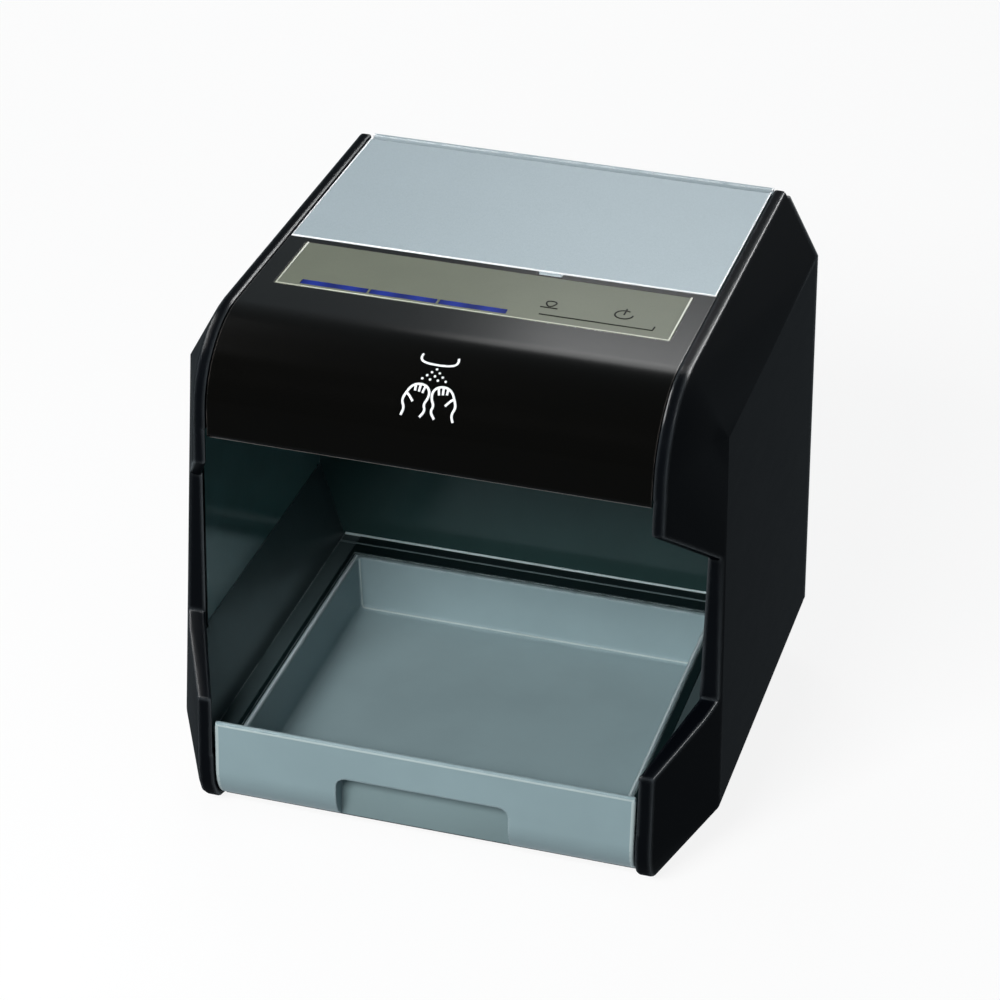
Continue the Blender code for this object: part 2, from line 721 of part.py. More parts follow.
def control_window():
    """The window lens, with a flange under the hood's skin and a slot for each light bar."""
    low, high = window_corners(-SEAT_GAP)
    flange_top = HOOD_TOP - HOOD_SKIN - SEAT_GAP
    flange_low, flange_high = window_corners(WINDOW_FLANGE)
    lens = box("control_window", (*low, flange_top - WINDOW_FLANGE_THICKNESS / 2), (*high, HOOD_TOP),
               "window_olive")
    flange = box("window_flange", (*flange_low, flange_top - WINDOW_FLANGE_THICKNESS),
                 (*flange_high, flange_top))
    join(lens, flange)
    for number, (left, front) in enumerate(light_bar_places()):
        slot = box("light_slot_%d" % number,
                   (left - SEAT_GAP, front - SEAT_GAP, flange_top - CUT_OVERRUN),
                   (left + LIGHT_BAR_LENGTH + SEAT_GAP, front + LIGHT_BAR_WIDTH + SEAT_GAP,
                    HOOD_TOP + CUT_OVERRUN))
        cut(lens, slot)
    return lens


def light_guide():
    """Three bars on one carrier strip, which bring the lights up flush with the window."""
    places = light_bar_places()
    carrier_top = HOOD_TOP - HOOD_SKIN - SEAT_GAP - WINDOW_FLANGE_THICKNESS - SEAT_GAP
    left = places[0][0] - LIGHT_CARRIER_MARGIN
    right = places[-1][0] + LIGHT_BAR_LENGTH + LIGHT_CARRIER_MARGIN
    front = places[0][1] - LIGHT_CARRIER_MARGIN
    guide = box("light_guide", (left, front, carrier_top - LIGHT_CARRIER_THICKNESS),
                (right, front + LIGHT_BAR_WIDTH + 2 * LIGHT_CARRIER_MARGIN, carrier_top), "light_blue")
    for number, (x, y) in enumerate(places):
        bar = box("light_bar_%d" % number, (x, y, carrier_top - LIGHT_CARRIER_THICKNESS / 2),
                  (x + LIGHT_BAR_LENGTH, y + LIGHT_BAR_WIDTH, HOOD_TOP))
        join(guide, bar)
    return guide


def display_board():
    """The board under the window, with the plug for its ribbon."""
    top = (HOOD_TOP - HOOD_SKIN - WINDOW_FLANGE_THICKNESS - LIGHT_CARRIER_THICKNESS - 3 * SEAT_GAP)
    front = FRONT + WINDOW_FRONT_SETBACK
    half = WINDOW_SIDE - DISPLAY_BOARD_SIDE_INSET
    low = (-half, front, top - BOARD_THICKNESS)
    high = (half, front + DISPLAY_BOARD_LENGTH, top)
    board = box("display_board", low, high, "board_green")
    size = DISPLAY_PLUG_SIZE
    plug = box("display_plug", (high[0] - 2 * size, high[1] - 2 * size, low[2] - size / 2),
               (high[0] - size, high[1] - size, low[2] + BOARD_THICKNESS / 2))
    join(board, plug)
    return board


def lid():
    """The tank's lid: a skin with lips turned down, a finger pull in front and two hinge lugs behind."""
    body = box("lid", (-LID_SIDE, LID_FRONT, LID_TOP - LID_LIP), (LID_SIDE, LID_BACK, LID_TOP), "lid_silver")
    rounded(body, LID_ROUND)
    room = box("lid_room", (-LID_SIDE + LID_SKIN, LID_FRONT + LID_SKIN, LID_TOP - LID_LIP - CUT_OVERRUN),
               (LID_SIDE - LID_SKIN, LID_BACK + CUT_OVERRUN, LID_TOP - LID_SKIN))
    cut(body, room)
    pull_low = (LID_PULL_OFFSET - LID_PULL_WIDTH / 2, LID_FRONT - LID_PULL_REACH, LID_TOP - LID_SKIN)
    pull_high = (LID_PULL_OFFSET + LID_PULL_WIDTH / 2, LID_FRONT + LID_SKIN, LID_TOP - LID_ROUND / 2)
    pull = box("lid_pull", pull_low, pull_high)
    rounded(pull, LID_ROUND / 2)
    join(body, pull)
    lug_top = LID_TOP - LID_SKIN / 2
    for side in (-1, 1):
        inner = side * (lug_outer_side() - HINGE_LUG_WIDTH)
        outer = inner + side * HINGE_LUG_WIDTH
        outline = arc((HINGE_Y, HINGE_Z), HINGE_LUG_RADIUS, HINGE_LUG_RADIUS, math.pi, 2 * math.pi, ARC_STEPS)
        outline += [(HINGE_Y + HINGE_LUG_RADIUS, lug_top), (HINGE_Y - HINGE_LUG_RADIUS, lug_top)]
        join(body, prism("lid_lug", outline, "X", min(inner, outer), max(inner, outer)))
        bore = cylinder("lid_bore", (inner - side * CUT_OVERRUN, HINGE_Y, HINGE_Z), (side, 0, 0),
                        HINGE_LUG_WIDTH + 2 * CUT_OVERRUN, HINGE_PIN_RADIUS + HINGE_RUNNING_GAP)
        cut(body, bore)
    return body


def lug_outer_side():
    """Distance from the middle to the outer face of each lid lug."""
    return LID_SIDE - LID_SKIN - SEAT_GAP - HINGE_BRACKET_THICKNESS - SEAT_GAP


def hinge_parts(side):
    """A bracket on the upper deck and the steel pin that joins it to the lid, at one side."""
    hand = "right" if side > 0 else "left"
    inner = side * (lug_outer_side() + SEAT_GAP)
    outer = inner + side * HINGE_BRACKET_THICKNESS
    low_x, high_x = min(inner, outer), max(inner, outer)
    half = HINGE_BRACKET_LENGTH / 2
    ear = arc((HINGE_Y, HINGE_Z), HINGE_EAR_RADIUS, HINGE_EAR_RADIUS, 0, math.pi, ARC_STEPS)
    outline = [(HINGE_Y - half, DECK_TOP + SEAT_GAP), (HINGE_Y + HINGE_EAR_RADIUS, DECK_TOP + SEAT_GAP)]
    outline += ear
    outline.append((HINGE_Y - half, HINGE_Z - 2 * HINGE_EAR_RADIUS))
    bracket = prism("hinge_bracket_" + hand, outline, "X", low_x, high_x, "base_black")
    hole = cylinder("hinge_hole_" + hand, (inner - side * CUT_OVERRUN, HINGE_Y, HINGE_Z), (side, 0, 0),
                    HINGE_BRACKET_THICKNESS + 2 * CUT_OVERRUN, HINGE_PIN_RADIUS + SEAT_GAP)
    cut(bracket, hole)
    start = inner - side * (SEAT_GAP + HINGE_LUG_WIDTH)
    pin = cylinder("hinge_pin_" + hand, (start, HINGE_Y, HINGE_Z), (side, 0, 0),
                   HINGE_LUG_WIDTH + SEAT_GAP + HINGE_BRACKET_THICKNESS, HINGE_PIN_RADIUS, "steel")
    return bracket, pin


def upper_deck():
    """The cavity's ceiling and the tank's floor, with holes for nozzle, sensors and tubes."""
    back = COVER_BACK - SEAT_GAP
    start = FRONT + HOOD_RETURN + SEAT_GAP
    recess = FRONT + NOTCH_DEPTH
    room = recess + WALL + SEAT_GAP
    outline = mirrored_points([
        (cheek_side(start) - SEAT_GAP, start),
        (CAVITY_SIDE - SEAT_GAP, recess),
        (CAVITY_SIDE - SEAT_GAP, room),
        (LINER_BACKING, room),
        (LINER_BACKING, back),
    ])
    deck = prism("upper_deck", outline, "Z", DECK_BOTTOM, DECK_TOP, "liner_smoke")
    low = DECK_BOTTOM - CUT_OVERRUN
    tall = UPPER_DECK_THICKNESS + 2 * CUT_OVERRUN
    holes = [
        ((0, FRONT + NOZZLE_SETBACK), NOZZLE_STEM_RADIUS + SEAT_GAP),
        ((-SENSOR_SPREAD / 2, FRONT + SENSOR_SETBACK), SENSOR_RADIUS + SEAT_GAP),
        ((SENSOR_SPREAD / 2, FRONT + SENSOR_SETBACK), SENSOR_RADIUS + SEAT_GAP),
        ((OUTLET_OFFSET_X, outlet_y()), OUTLET_RADIUS + SEAT_GAP),
        ((SPRAY_TUBE_X, PUMP_ROOM_MIDDLE_Y), TUBE_RADIUS + DECK_PORT_GAP),
    ]
    for number, ((x, y), radius) in enumerate(holes):
        cut(deck, cylinder("deck_hole_%d" % number, (x, y, low), (0, 0, 1), tall, radius))
    return deck


def liner():
    """The smoked panels at the sides and back of the cavity."""
    low = FLANK_TOP + SEAT_GAP
    high = DECK_BOTTOM - SEAT_GAP
    front = FRONT + NOTCH_DEPTH + WALL + SEAT_GAP
    inner = CAVITY_SIDE + SEAT_GAP
    outer = LINER_BACKING
    box("liner_right", (inner, front, low), (outer, BACK_WALL_FRONT - SEAT_GAP, high), "liner_smoke")
    box("liner_left", (-outer, front, low), (-inner, BACK_WALL_FRONT - SEAT_GAP, high), "liner_smoke")
    outline = mirrored_points([
        (BAY_SIDE, BASE_TOP + SEAT_GAP),
        (BAY_SIDE, LEDGE_BOTTOM),
        (outer, LEDGE_BOTTOM),
        (outer, high),
    ])
    back = prism("liner_back", outline, "Y", BACK_WALL_FRONT, BACK_WALL_BACK, "liner_smoke")
    for number, (x, z) in enumerate(board_holes()):
        boss = cylinder("board_boss_%d" % number, (x, BACK_WALL_BACK - LINER_THICKNESS / 2, z), (0, 1, 0),
                        BOARD_BOSS_LENGTH + LINER_THICKNESS / 2, BOARD_BOSS_RADIUS, segments=16)
        join(back, boss)
    for name, (x, y, _) in base_screw_seats().items():
        screw_boss(name, back, (x, y, BASE_TOP + SEAT_GAP), (0, 0, 1))


def flank_line(shift, low, high):
    """Two points of the ledge's sloped flank, moved out by shift, at the heights low and high, as (x, z)."""
    slope = (CAVITY_SIDE + SEAT_GAP - FLANK_FOOT) / FLANK_RISE
    return [(FLANK_FOOT + shift + (height - LEDGE_HEIGHT) * slope, height) for height in (low, high)]


def tray_ledge():
    """The surround of the drip tray: a U-shaped ledge with sloped flanks, on two skirts that guide the tray."""
    inner = BASIN_SIDE + TRAY_SIDE_GAP
    front = FRONT + LEDGE_FRONT_SETBACK
    recess = FRONT + NOTCH_DEPTH
    back = BACK_WALL_FRONT - SEAT_GAP
    skirt_front = FRONT + TOE_REACH + TRAY_FASCIA + TRAY_SIDE_GAP
    room = recess + WALL + SEAT_GAP
    half = [
        (inner, LEDGE_SLOT_END),
        (inner, front),
        (cheek_side(front) - SEAT_GAP, front),
        (CAVITY_SIDE - SEAT_GAP, recess),
        (CAVITY_SIDE - SEAT_GAP, room),
        (LINER_BACKING, room),
        (LINER_BACKING, back),
    ]
    ledge = prism("tray_ledge", mirrored_points(half), "Z", LEDGE_BOTTOM, FLANK_TOP, "liner_smoke")
    over = FLANK_TOP + CUT_OVERRUN
    trough = prism("ledge_trough", mirrored_points(flank_line(0.0, LEDGE_HEIGHT, over)), "Y",
                   front - CUT_OVERRUN, back + CUT_OVERRUN)
    cut(ledge, trough)
    for side in (-1, 1):
        under = LEDGE_BOTTOM - CUT_OVERRUN
        far = LINER_BACKING + CUT_OVERRUN
        outline = flank_line(LEDGE_THICKNESS, under, over) + [(far, over), (far, under)]
        cut(ledge, prism("flank_back", [(side * x, z) for x, z in outline], "Y",
                         front - CUT_OVERRUN, back + CUT_OVERRUN))
        edges = (side * inner, side * (inner + LEDGE_SKIRT_THICKNESS))
        skirt = box("ledge_skirt", (min(edges), skirt_front, BASE_TOP + SEAT_GAP),
                    (max(edges), LEDGE_SLOT_END, LEDGE_BOTTOM + LEDGE_THICKNESS / 2))
        join(ledge, skirt)
    return ledge


def base_plate():
    """The floor of the housing, with two rails for the tray and bosses for the screws."""
    half = BAY_SIDE - SEAT_GAP
    front = FRONT + TOE_REACH + SEAT_GAP
    plate = box("base_plate", (-half, front, BOTTOM), (half, COVER_BACK - SEAT_GAP, BASE_TOP), "base_black")
    rail_back = BACK_WALL_FRONT - SEAT_GAP - RAIL_END_GAP
    for side in (-1, 1):
        middle = side * RAIL_SPREAD / 2
        rail = box("base_rail", (middle - RAIL_WIDTH / 2, front + RAIL_END_GAP, BOTTOM + BASE_THICKNESS / 2),
                   (middle + RAIL_WIDTH / 2, rail_back, BASE_TOP + RAIL_HEIGHT))
        join(plate, rail)
    for name, seat in base_screw_seats().items():
        screw_way(name, plate, seat, (0, 0, 1))
    return plate


def feet():
    """Four rubber feet under the corners of the base."""
    for side, hand in ((-1, "left"), (1, "right")):
        for place, where in ((FRONT + FOOT_INSET_Y, "front"), (BACK - FOOT_INSET_Y, "rear")):
            x = side * (BAY_SIDE - FOOT_INSET_X)
            foot = cylinder("foot_%s_%s" % (where, hand), (x, place, 0), (0, 0, 1),
                            FOOT_HEIGHT - SEAT_GAP, FOOT_RADIUS, "rubber_black", segments=24)
            rounded(foot, SEAT_GAP, 1, math.radians(60))


def fascia_y(inset, height):
    """Where the tray's front, moved in by inset, is at a height: upright above the toe, elliptic below."""
    toe = (FRONT + TOE_REACH, BOTTOM + TOE_RISE)
    reach = toe[0] - FRONT - HOOD_RECESS - inset
    rise = toe[1] - TRAY_BOTTOM_HEIGHT - inset
    share = min(max(toe[1] - height, 0) / rise, 1)
    return toe[0] - reach * math.sqrt(1 - share * share)


def fascia_height(inset, y):
    """The height at which the tray's front, moved in by inset, comes forward to a place y under its bend."""
    toe = (FRONT + TOE_REACH, BOTTOM + TOE_RISE)
    share = (toe[0] - y) / (toe[0] - FRONT - HOOD_RECESS - inset)
    return toe[1] - (toe[1] - TRAY_BOTTOM_HEIGHT - inset) * math.sqrt(1 - share * share)


def fascia_line(inset, low, high):
    """Points of the tray's front from low to high, as (y, z), close together on its curved part."""
    bend = BOTTOM + TOE_RISE
    heights = [bend - (bend - low) * math.cos(math.pi / 2 * step / ARC_STEPS) for step in range(ARC_STEPS + 1)]
    return [(fascia_y(inset, height), height) for height in heights + [high]]


def basin_block(name, inset, front_inset, floor, top):
    """The basin's outer form, or with an inset the room in it: its sides and back draw in towards the floor."""
    brim = LEDGE_HEIGHT - BASIN_TOP_DROP
    profile = fascia_line(front_inset, floor, top) + [(BASIN_END, floor), (BASIN_END, top)]
    points = []
    for y, z in profile:
        narrowing = inset + BASIN_DRAFT * (brim - z) / (brim - BASIN_FLOOR)
        place = min(y, BASIN_END - narrowing)
        points += [(side * (BASIN_SIDE - narrowing), place, z) for side in (-1, 1)]
    return hull(name, points)


def drip_tray():
    """The sliding tray: a basin with a bent fascia, and a grip pressed into the fascia's lower edge."""
    half = BAY_SIDE - TRAY_SIDE_GAP
    outer = fascia_line(0.0, TRAY_BOTTOM_HEIGHT, TRAY_TOP_HEIGHT)
    inner = fascia_line(TRAY_FASCIA, TRAY_BOTTOM_HEIGHT + TRAY_FASCIA, TRAY_TOP_HEIGHT)
    lip_back = FRONT + TOE_REACH + TRAY_FASCIA
    lip = [(lip_back, TRAY_BOTTOM_HEIGHT + TRAY_FASCIA), (lip_back, TRAY_BOTTOM_HEIGHT)]
    tray = prism("drip_tray", outer + list(reversed(inner)) + lip, "X", -half, half, "tray_grey")
    rounded(tray, TRAY_LIP_RADIUS, 2, math.radians(60))
    brim = LEDGE_HEIGHT - BASIN_TOP_DROP
    basin = basin_block("basin_form", 0.0, TRAY_FASCIA / 2, BASIN_FLOOR, brim)
    room = basin_block("basin_room", TRAY_WALL, TRAY_FASCIA + BASIN_FRONT_STEP, BASIN_FLOOR + TRAY_WALL,
                       TRAY_TOP_HEIGHT + CUT_OVERRUN)
    rounded(room, BASIN_CORNER_RADIUS, 3, math.radians(60))
    grip_top = TRAY_BOTTOM_HEIGHT + GRIP_HEIGHT
    grip_back = FRONT + HOOD_RECESS + GRIP_DEPTH
    grip_half = GRIP_WIDTH / 2
    shell_top = grip_top + TRAY_WALL
    shell_back = grip_back + TRAY_WALL
    shell_low = fascia_height(TRAY_FASCIA / 2, shell_back)
    shell = prism("grip_shell", fascia_line(TRAY_FASCIA / 2, shell_low, shell_top) + [(shell_back, shell_top)],
                  "X", -grip_half - TRAY_WALL, grip_half + TRAY_WALL)
    finger = prism("grip_room",
                   rounded_rectangle((-grip_half, -CUT_OVERRUN), (grip_half, grip_top), GRIP_ROUND),
                   "Y", FRONT - CUT_OVERRUN, grip_back)
    join(tray, basin)
    cut(tray, room)
    join(tray, shell)
    cut(tray, finger)
    return tray


def outlet_y():
    return TANK_BACK - OUTLET_BACK_INSET


def tank_form(name, inset, low, high, finish=None):
    """A block with the tank's rounded plan, or with an inset the room in its walls."""
    low_corner = (-TANK_SIDE + inset, TANK_FRONT + inset)
    high_corner = (TANK_SIDE - inset, TANK_BACK - inset)
    outline = rounded_rectangle(low_corner, high_corner, TANK_ROUND - inset)
    return prism(name, outline, "Z", low, high, finish)


def tank():
    """The fluid tank in its two moulded halves: a body with an outlet spigot, and a top with a filler neck."""
    seam = TANK_TOP - TANK_WALL - SEAT_GAP
    body = tank_form("tank", 0.0, TANK_BOTTOM, seam, "tank_clear")
    outlet = Vector((OUTLET_OFFSET_X, outlet_y(), TANK_BOTTOM - OUTLET_LENGTH))
    spigot = cylinder("tank_spigot", outlet, (0, 0, 1), OUTLET_LENGTH + TANK_WALL / 2, OUTLET_RADIUS)
    join(body, spigot)
    room = tank_form("tank_room", TANK_WALL, TANK_BOTTOM + TANK_WALL, TANK_TOP)
    drain = cylinder("tank_drain", outlet - Vector((0, 0, CUT_OVERRUN)), (0, 0, 1),
                     OUTLET_LENGTH + CUT_OVERRUN + 2 * TANK_WALL, OUTLET_BORE_RADIUS)
    cut(body, room, drain)
    top = tank_form("tank_top", 0.0, TANK_TOP - TANK_WALL, TANK_TOP, "tank_clear")
    neck = cylinder("tank_neck", (NECK_X, TANK_MIDDLE_Y, TANK_TOP - TANK_WALL / 2), (0, 0, 1),
                    NECK_HEIGHT + TANK_WALL / 2, NECK_RADIUS)
    join(top, neck)
    mouth = cylinder("tank_mouth", (NECK_X, TANK_MIDDLE_Y, TANK_TOP - 2 * TANK_WALL), (0, 0, 1),
                     NECK_HEIGHT + 2 * TANK_WALL + CUT_OVERRUN, NECK_RADIUS - TANK_WALL)
    cut(top, mouth)
    return body, top


def tank_cap():
    """The screw cap with a ribbed edge and a grip bar, and the flat seal inside it."""
    centre = Vector((NECK_X, TANK_MIDDLE_Y, 0))
    low = TANK_TOP + SEAT_GAP
    high = low + CAP_HEIGHT
    inner = NECK_RADIUS + CAP_SIDE_GAP
    cap = cylinder("tank_cap", centre + Vector((0, 0, low)), (0, 0, 1), CAP_HEIGHT, CAP_RADIUS, "cap_white",
                   segments=2 * CAP_RIB_COUNT)
    room_height = CAP_HEIGHT - CAP_SKIN
    room = cylinder("cap_room", centre + Vector((0, 0, low - CUT_OVERRUN)), (0, 0, 1),
                    room_height + CUT_OVERRUN, inner)
    cut(cap, room)
    for number in range(CAP_RIB_COUNT // 2):
        angle = 2 * math.pi * number / (CAP_RIB_COUNT // 2)
        place = centre + CAP_RADIUS * Vector((math.cos(angle), math.sin(angle), 0))
        groove = cylinder("cap_groove_%d" % number, place + Vector((0, 0, low - CUT_OVERRUN)), (0, 0, 1),
                          CAP_HEIGHT + 2 * CUT_OVERRUN, CAP_RIB_RADIUS, segments=8)
        cut(cap, groove)
    bar = box("cap_bar", centre + Vector((-CAP_RADIUS / 2, -CAP_GRIP_WIDTH / 2, high - CAP_SKIN / 2)),
              centre + Vector((CAP_RADIUS / 2, CAP_GRIP_WIDTH / 2, high + CAP_GRIP_HEIGHT)))
    join(cap, bar)
    seal_top = low + room_height - SEAT_GAP
    seal = cylinder("cap_seal", centre + Vector((0, 0, seal_top - SEAL_THICKNESS)), (0, 0, 1),
                    SEAL_THICKNESS, NECK_RADIUS, "rubber_black")
    put_origin(cap, centre)
    put_origin(seal, centre)
    return cap, seal


def nozzle():
    """The spray nozzle: a body with a side barb on the deck, and the tip screwed on under it."""
    place = Vector((0, FRONT + NOZZLE_SETBACK, 0))
    stem_low = DECK_BOTTOM - NOZZLE_STEM_DROP
    body_low = DECK_TOP + SEAT_GAP
    body = cylinder("nozzle_body", place + Vector((0, 0, body_low)), (0, 0, 1), NOZZLE_BODY_HEIGHT,
                    NOZZLE_BODY_RADIUS, "pump_grey")
    stem = cylinder("nozzle_stem", place + Vector((0, 0, stem_low)), (0, 0, 1),
                    body_low - stem_low + NOZZLE_BODY_HEIGHT / 4, NOZZLE_STEM_RADIUS)
    barb_z = body_low + NOZZLE_BODY_HEIGHT / 2
    barb = cylinder("nozzle_barb", place + Vector((NOZZLE_BODY_RADIUS / 2, 0, barb_z)), (1, 0, 0),
                    NOZZLE_BODY_RADIUS / 2 + NOZZLE_BARB_LENGTH, NOZZLE_BARB_RADIUS, segments=20)
    join(body, stem, barb)
    down = cylinder("nozzle_channel", place + Vector((0, 0, stem_low - CUT_OVERRUN)), (0, 0, 1),
                    barb_z - stem_low + CUT_OVERRUN, NOZZLE_CHANNEL_RADIUS, segments=16)
    across = cylinder("nozzle_inlet", place + Vector((0, 0, barb_z)), (1, 0, 0),
                      NOZZLE_BODY_RADIUS + NOZZLE_BARB_LENGTH + CUT_OVERRUN, NOZZLE_CHANNEL_RADIUS, segments=16)
    cut(body, down, across)
    tip_top = DECK_BOTTOM - SEAT_GAP
    tip = cylinder("nozzle_tip", place + Vector((0, 0, tip_top - NOZZLE_TIP_HEIGHT)), (0, 0, 1),
                   NOZZLE_TIP_HEIGHT, NOZZLE_TIP_RADIUS, "cap_white", end_radius=NOZZLE_TIP_RADIUS)
    socket = cylinder("tip_socket", place + Vector((0, 0, stem_low - SEAT_GAP)), (0, 0, 1),
                      NOZZLE_STEM_DROP + CUT_OVERRUN, NOZZLE_STEM_RADIUS + SEAT_GAP)
    orifice = cylinder("tip_orifice", place + Vector((0, 0, tip_top - NOZZLE_TIP_HEIGHT - CUT_OVERRUN)),
                       (0, 0, 1), NOZZLE_TIP_HEIGHT + CUT_OVERRUN, NOZZLE_ORIFICE_RADIUS, segments=12)
    cut(tip, socket, orifice)
    return body, tip


def sensor():
    """The two lenses that see the hands, and the board that they stand on."""
    low = DECK_TOP + SEAT_GAP
    y = FRONT + SENSOR_SETBACK
    for side, hand in ((-1, "left"), (1, "right")):
        x = side * SENSOR_SPREAD / 2
        lens = cylinder("sensor_lens_" + hand, (x, y, low), (0, 0, 1), SENSOR_COLLAR_HEIGHT,
                        SENSOR_COLLAR_RADIUS, "lens_dark", segments=24)
        stem = cylinder("lens_stem_" + hand, (x, y, DECK_BOTTOM), (0, 0, 1),
                        low - DECK_BOTTOM + SENSOR_COLLAR_HEIGHT / 2, SENSOR_RADIUS, segments=24)
        dome = cylinder("lens_dome_" + hand, (x, y, DECK_BOTTOM + SEAT_GAP), (0, 0, -1),
                        SENSOR_DOME_DROP + SEAT_GAP, SENSOR_RADIUS - SEAT_GAP, segments=24,
                        end_radius=SENSOR_RADIUS / 2)
        join(lens, stem, dome)
    board_low = low + SENSOR_COLLAR_HEIGHT + SEAT_GAP
    box("sensor_board", (-SENSOR_BOARD_WIDTH / 2, y - SENSOR_BOARD_LENGTH / 2, board_low),
        (SENSOR_BOARD_WIDTH / 2, y + SENSOR_BOARD_LENGTH / 2, board_low + BOARD_THICKNESS), "board_green")


def involute_angle(radius, base_radius):
    """The polar angle of a circle's involute at a radius."""
    pressure = math.acos(min(base_radius / radius, 1.0))
    return math.tan(pressure) - pressure


def gear_outline(first_angle):
    """A spur gear's outline about the origin, as points of one plane, with a tooth at first_angle."""
    base = GEAR_PITCH_RADIUS * math.cos(GEAR_PRESSURE_ANGLE)
    root = GEAR_PITCH_RADIUS - 1.25 * PUMP_MODULE
    half_tooth = math.pi / (2 * GEAR_TEETH) - GEAR_BACKLASH / (2 * GEAR_PITCH_RADIUS)
    half_tooth += involute_angle(GEAR_PITCH_RADIUS, base)
    start = max(base, root)
    radii = [start + (GEAR_TIP_RADIUS - start) * step / 4 for step in range(5)]
    flank = [(radius, half_tooth - involute_angle(radius, base)) for radius in radii]
    points = []
    for tooth in range(GEAR_TEETH):
        middle = first_angle + 2 * math.pi * tooth / GEAR_TEETH
        right = [(root, half_tooth)] + flank
        polar = [(radius, middle - angle) for radius, angle in right]
        polar += [(radius, middle + angle) for radius, angle in reversed(right)]
        points += [(radius * math.cos(angle), radius * math.sin(angle)) for radius, angle in polar]
    return points


def gear(name, axis_z, first_angle):
    """One pump gear in its pocket, with its journals."""
    middle_y = PUMP_ROOM_MIDDLE_Y
    outline = [(middle_y + a, axis_z + b) for a, b in gear_outline(first_angle)]
    made = prism(name, outline, "X", PUMP_X, PUMP_X + GEAR_WIDTH, "gear_cream")
    return made


def pump_gears():
    """The drive gear on the motor's shaft and the gear that it turns, in mesh."""
    middle_y = PUMP_ROOM_MIDDLE_Y
    drive = gear("drive_gear", MOTOR_AXIS_Z, math.pi / 2)
    driven = gear("driven_gear", DRIVEN_AXIS_Z, -math.pi / 2 + math.pi / GEAR_TEETH)
    bore = cylinder("drive_gear_bore", (PUMP_X - CUT_OVERRUN, middle_y, MOTOR_AXIS_Z), (1, 0, 0),
                    GEAR_WIDTH + 2 * CUT_OVERRUN, SHAFT_RADIUS + SEAT_GAP / 2, segments=24)
    cut(drive, bore)
    axle = cylinder("driven_axle", (PUMP_X - JOURNAL_LENGTH, middle_y, DRIVEN_AXIS_Z), (1, 0, 0),
                    GEAR_WIDTH + 2 * JOURNAL_LENGTH, JOURNAL_RADIUS, segments=24)
    join(driven, axle)
    shaft_start = PUMP_X - GEAR_FACE_GAP - PUMP_WALL - MOTOR_BOSS_LENGTH - MOTOR_SHAFT_DEPTH
    shaft_end = PUMP_X + GEAR_WIDTH + JOURNAL_LENGTH
    shaft = cylinder("motor_shaft", (shaft_start, middle_y, MOTOR_AXIS_Z), (1, 0, 0),
                     shaft_end - shaft_start, SHAFT_RADIUS, "steel", segments=24)
    put_origin(drive, (PUMP_X, middle_y, MOTOR_AXIS_Z))
    put_origin(shaft, (PUMP_X, middle_y, MOTOR_AXIS_Z))
    put_origin(driven, (PUMP_X, middle_y, DRIVEN_AXIS_Z))


def pump_block_outline():
    """End view of the pump's housing and cover, as (y, z)."""
    reach = GEAR_TIP_RADIUS + GEAR_TIP_GAP + PUMP_WALL
    low = (PUMP_ROOM_MIDDLE_Y - reach, MOTOR_AXIS_Z - reach)
    high = (PUMP_ROOM_MIDDLE_Y + reach, DRIVEN_AXIS_Z + reach)
    return rounded_rectangle(low, high, PUMP_WALL)


def pump_housing():
    """The pump's body, with a figure-of-eight pocket for the gears."""
    left = PUMP_X - GEAR_FACE_GAP - PUMP_WALL
    right = PUMP_X + GEAR_WIDTH + GEAR_FACE_GAP
    body = prism("pump_housing", pump_block_outline(), "X", left, right, "pump_grey")
    for number, z in enumerate((MOTOR_AXIS_Z, DRIVEN_AXIS_Z)):
        pocket = cylinder("pump_pocket_%d" % number, (PUMP_X - GEAR_FACE_GAP, PUMP_ROOM_MIDDLE_Y, z),
                          (1, 0, 0), GEAR_WIDTH + GEAR_FACE_GAP + CUT_OVERRUN, GEAR_TIP_RADIUS + GEAR_TIP_GAP,
                          segments=48)
        cut(body, pocket)
    for side in (-1, 1):
        port_y = PUMP_ROOM_MIDDLE_Y + side * PUMP_PORT_SPREAD / 2
        port_z = (MOTOR_AXIS_Z + DRIVEN_AXIS_Z) / 2
        port = cylinder("pump_gallery", (PUMP_X - GEAR_FACE_GAP, port_y, port_z), (1, 0, 0),
                        GEAR_WIDTH + GEAR_FACE_GAP + CUT_OVERRUN, PUMP_PORT_RADIUS, segments=20)
        cut(body, port)
    way = cylinder("pump_shaft_way", (left - CUT_OVERRUN, PUMP_ROOM_MIDDLE_Y, MOTOR_AXIS_Z), (1, 0, 0),
                   PUMP_WALL + 2 * CUT_OVERRUN, SHAFT_RADIUS + JOURNAL_GAP, segments=24)
    seat_start = (PUMP_X - JOURNAL_LENGTH - SEAT_GAP, PUMP_ROOM_MIDDLE_Y, DRIVEN_AXIS_Z)
    seat = cylinder("pump_axle_seat", seat_start, (1, 0, 0), JOURNAL_LENGTH + SEAT_GAP + GEAR_FACE_GAP,
                    JOURNAL_RADIUS + JOURNAL_GAP, segments=24)
    cut(body, way, seat)
    return body


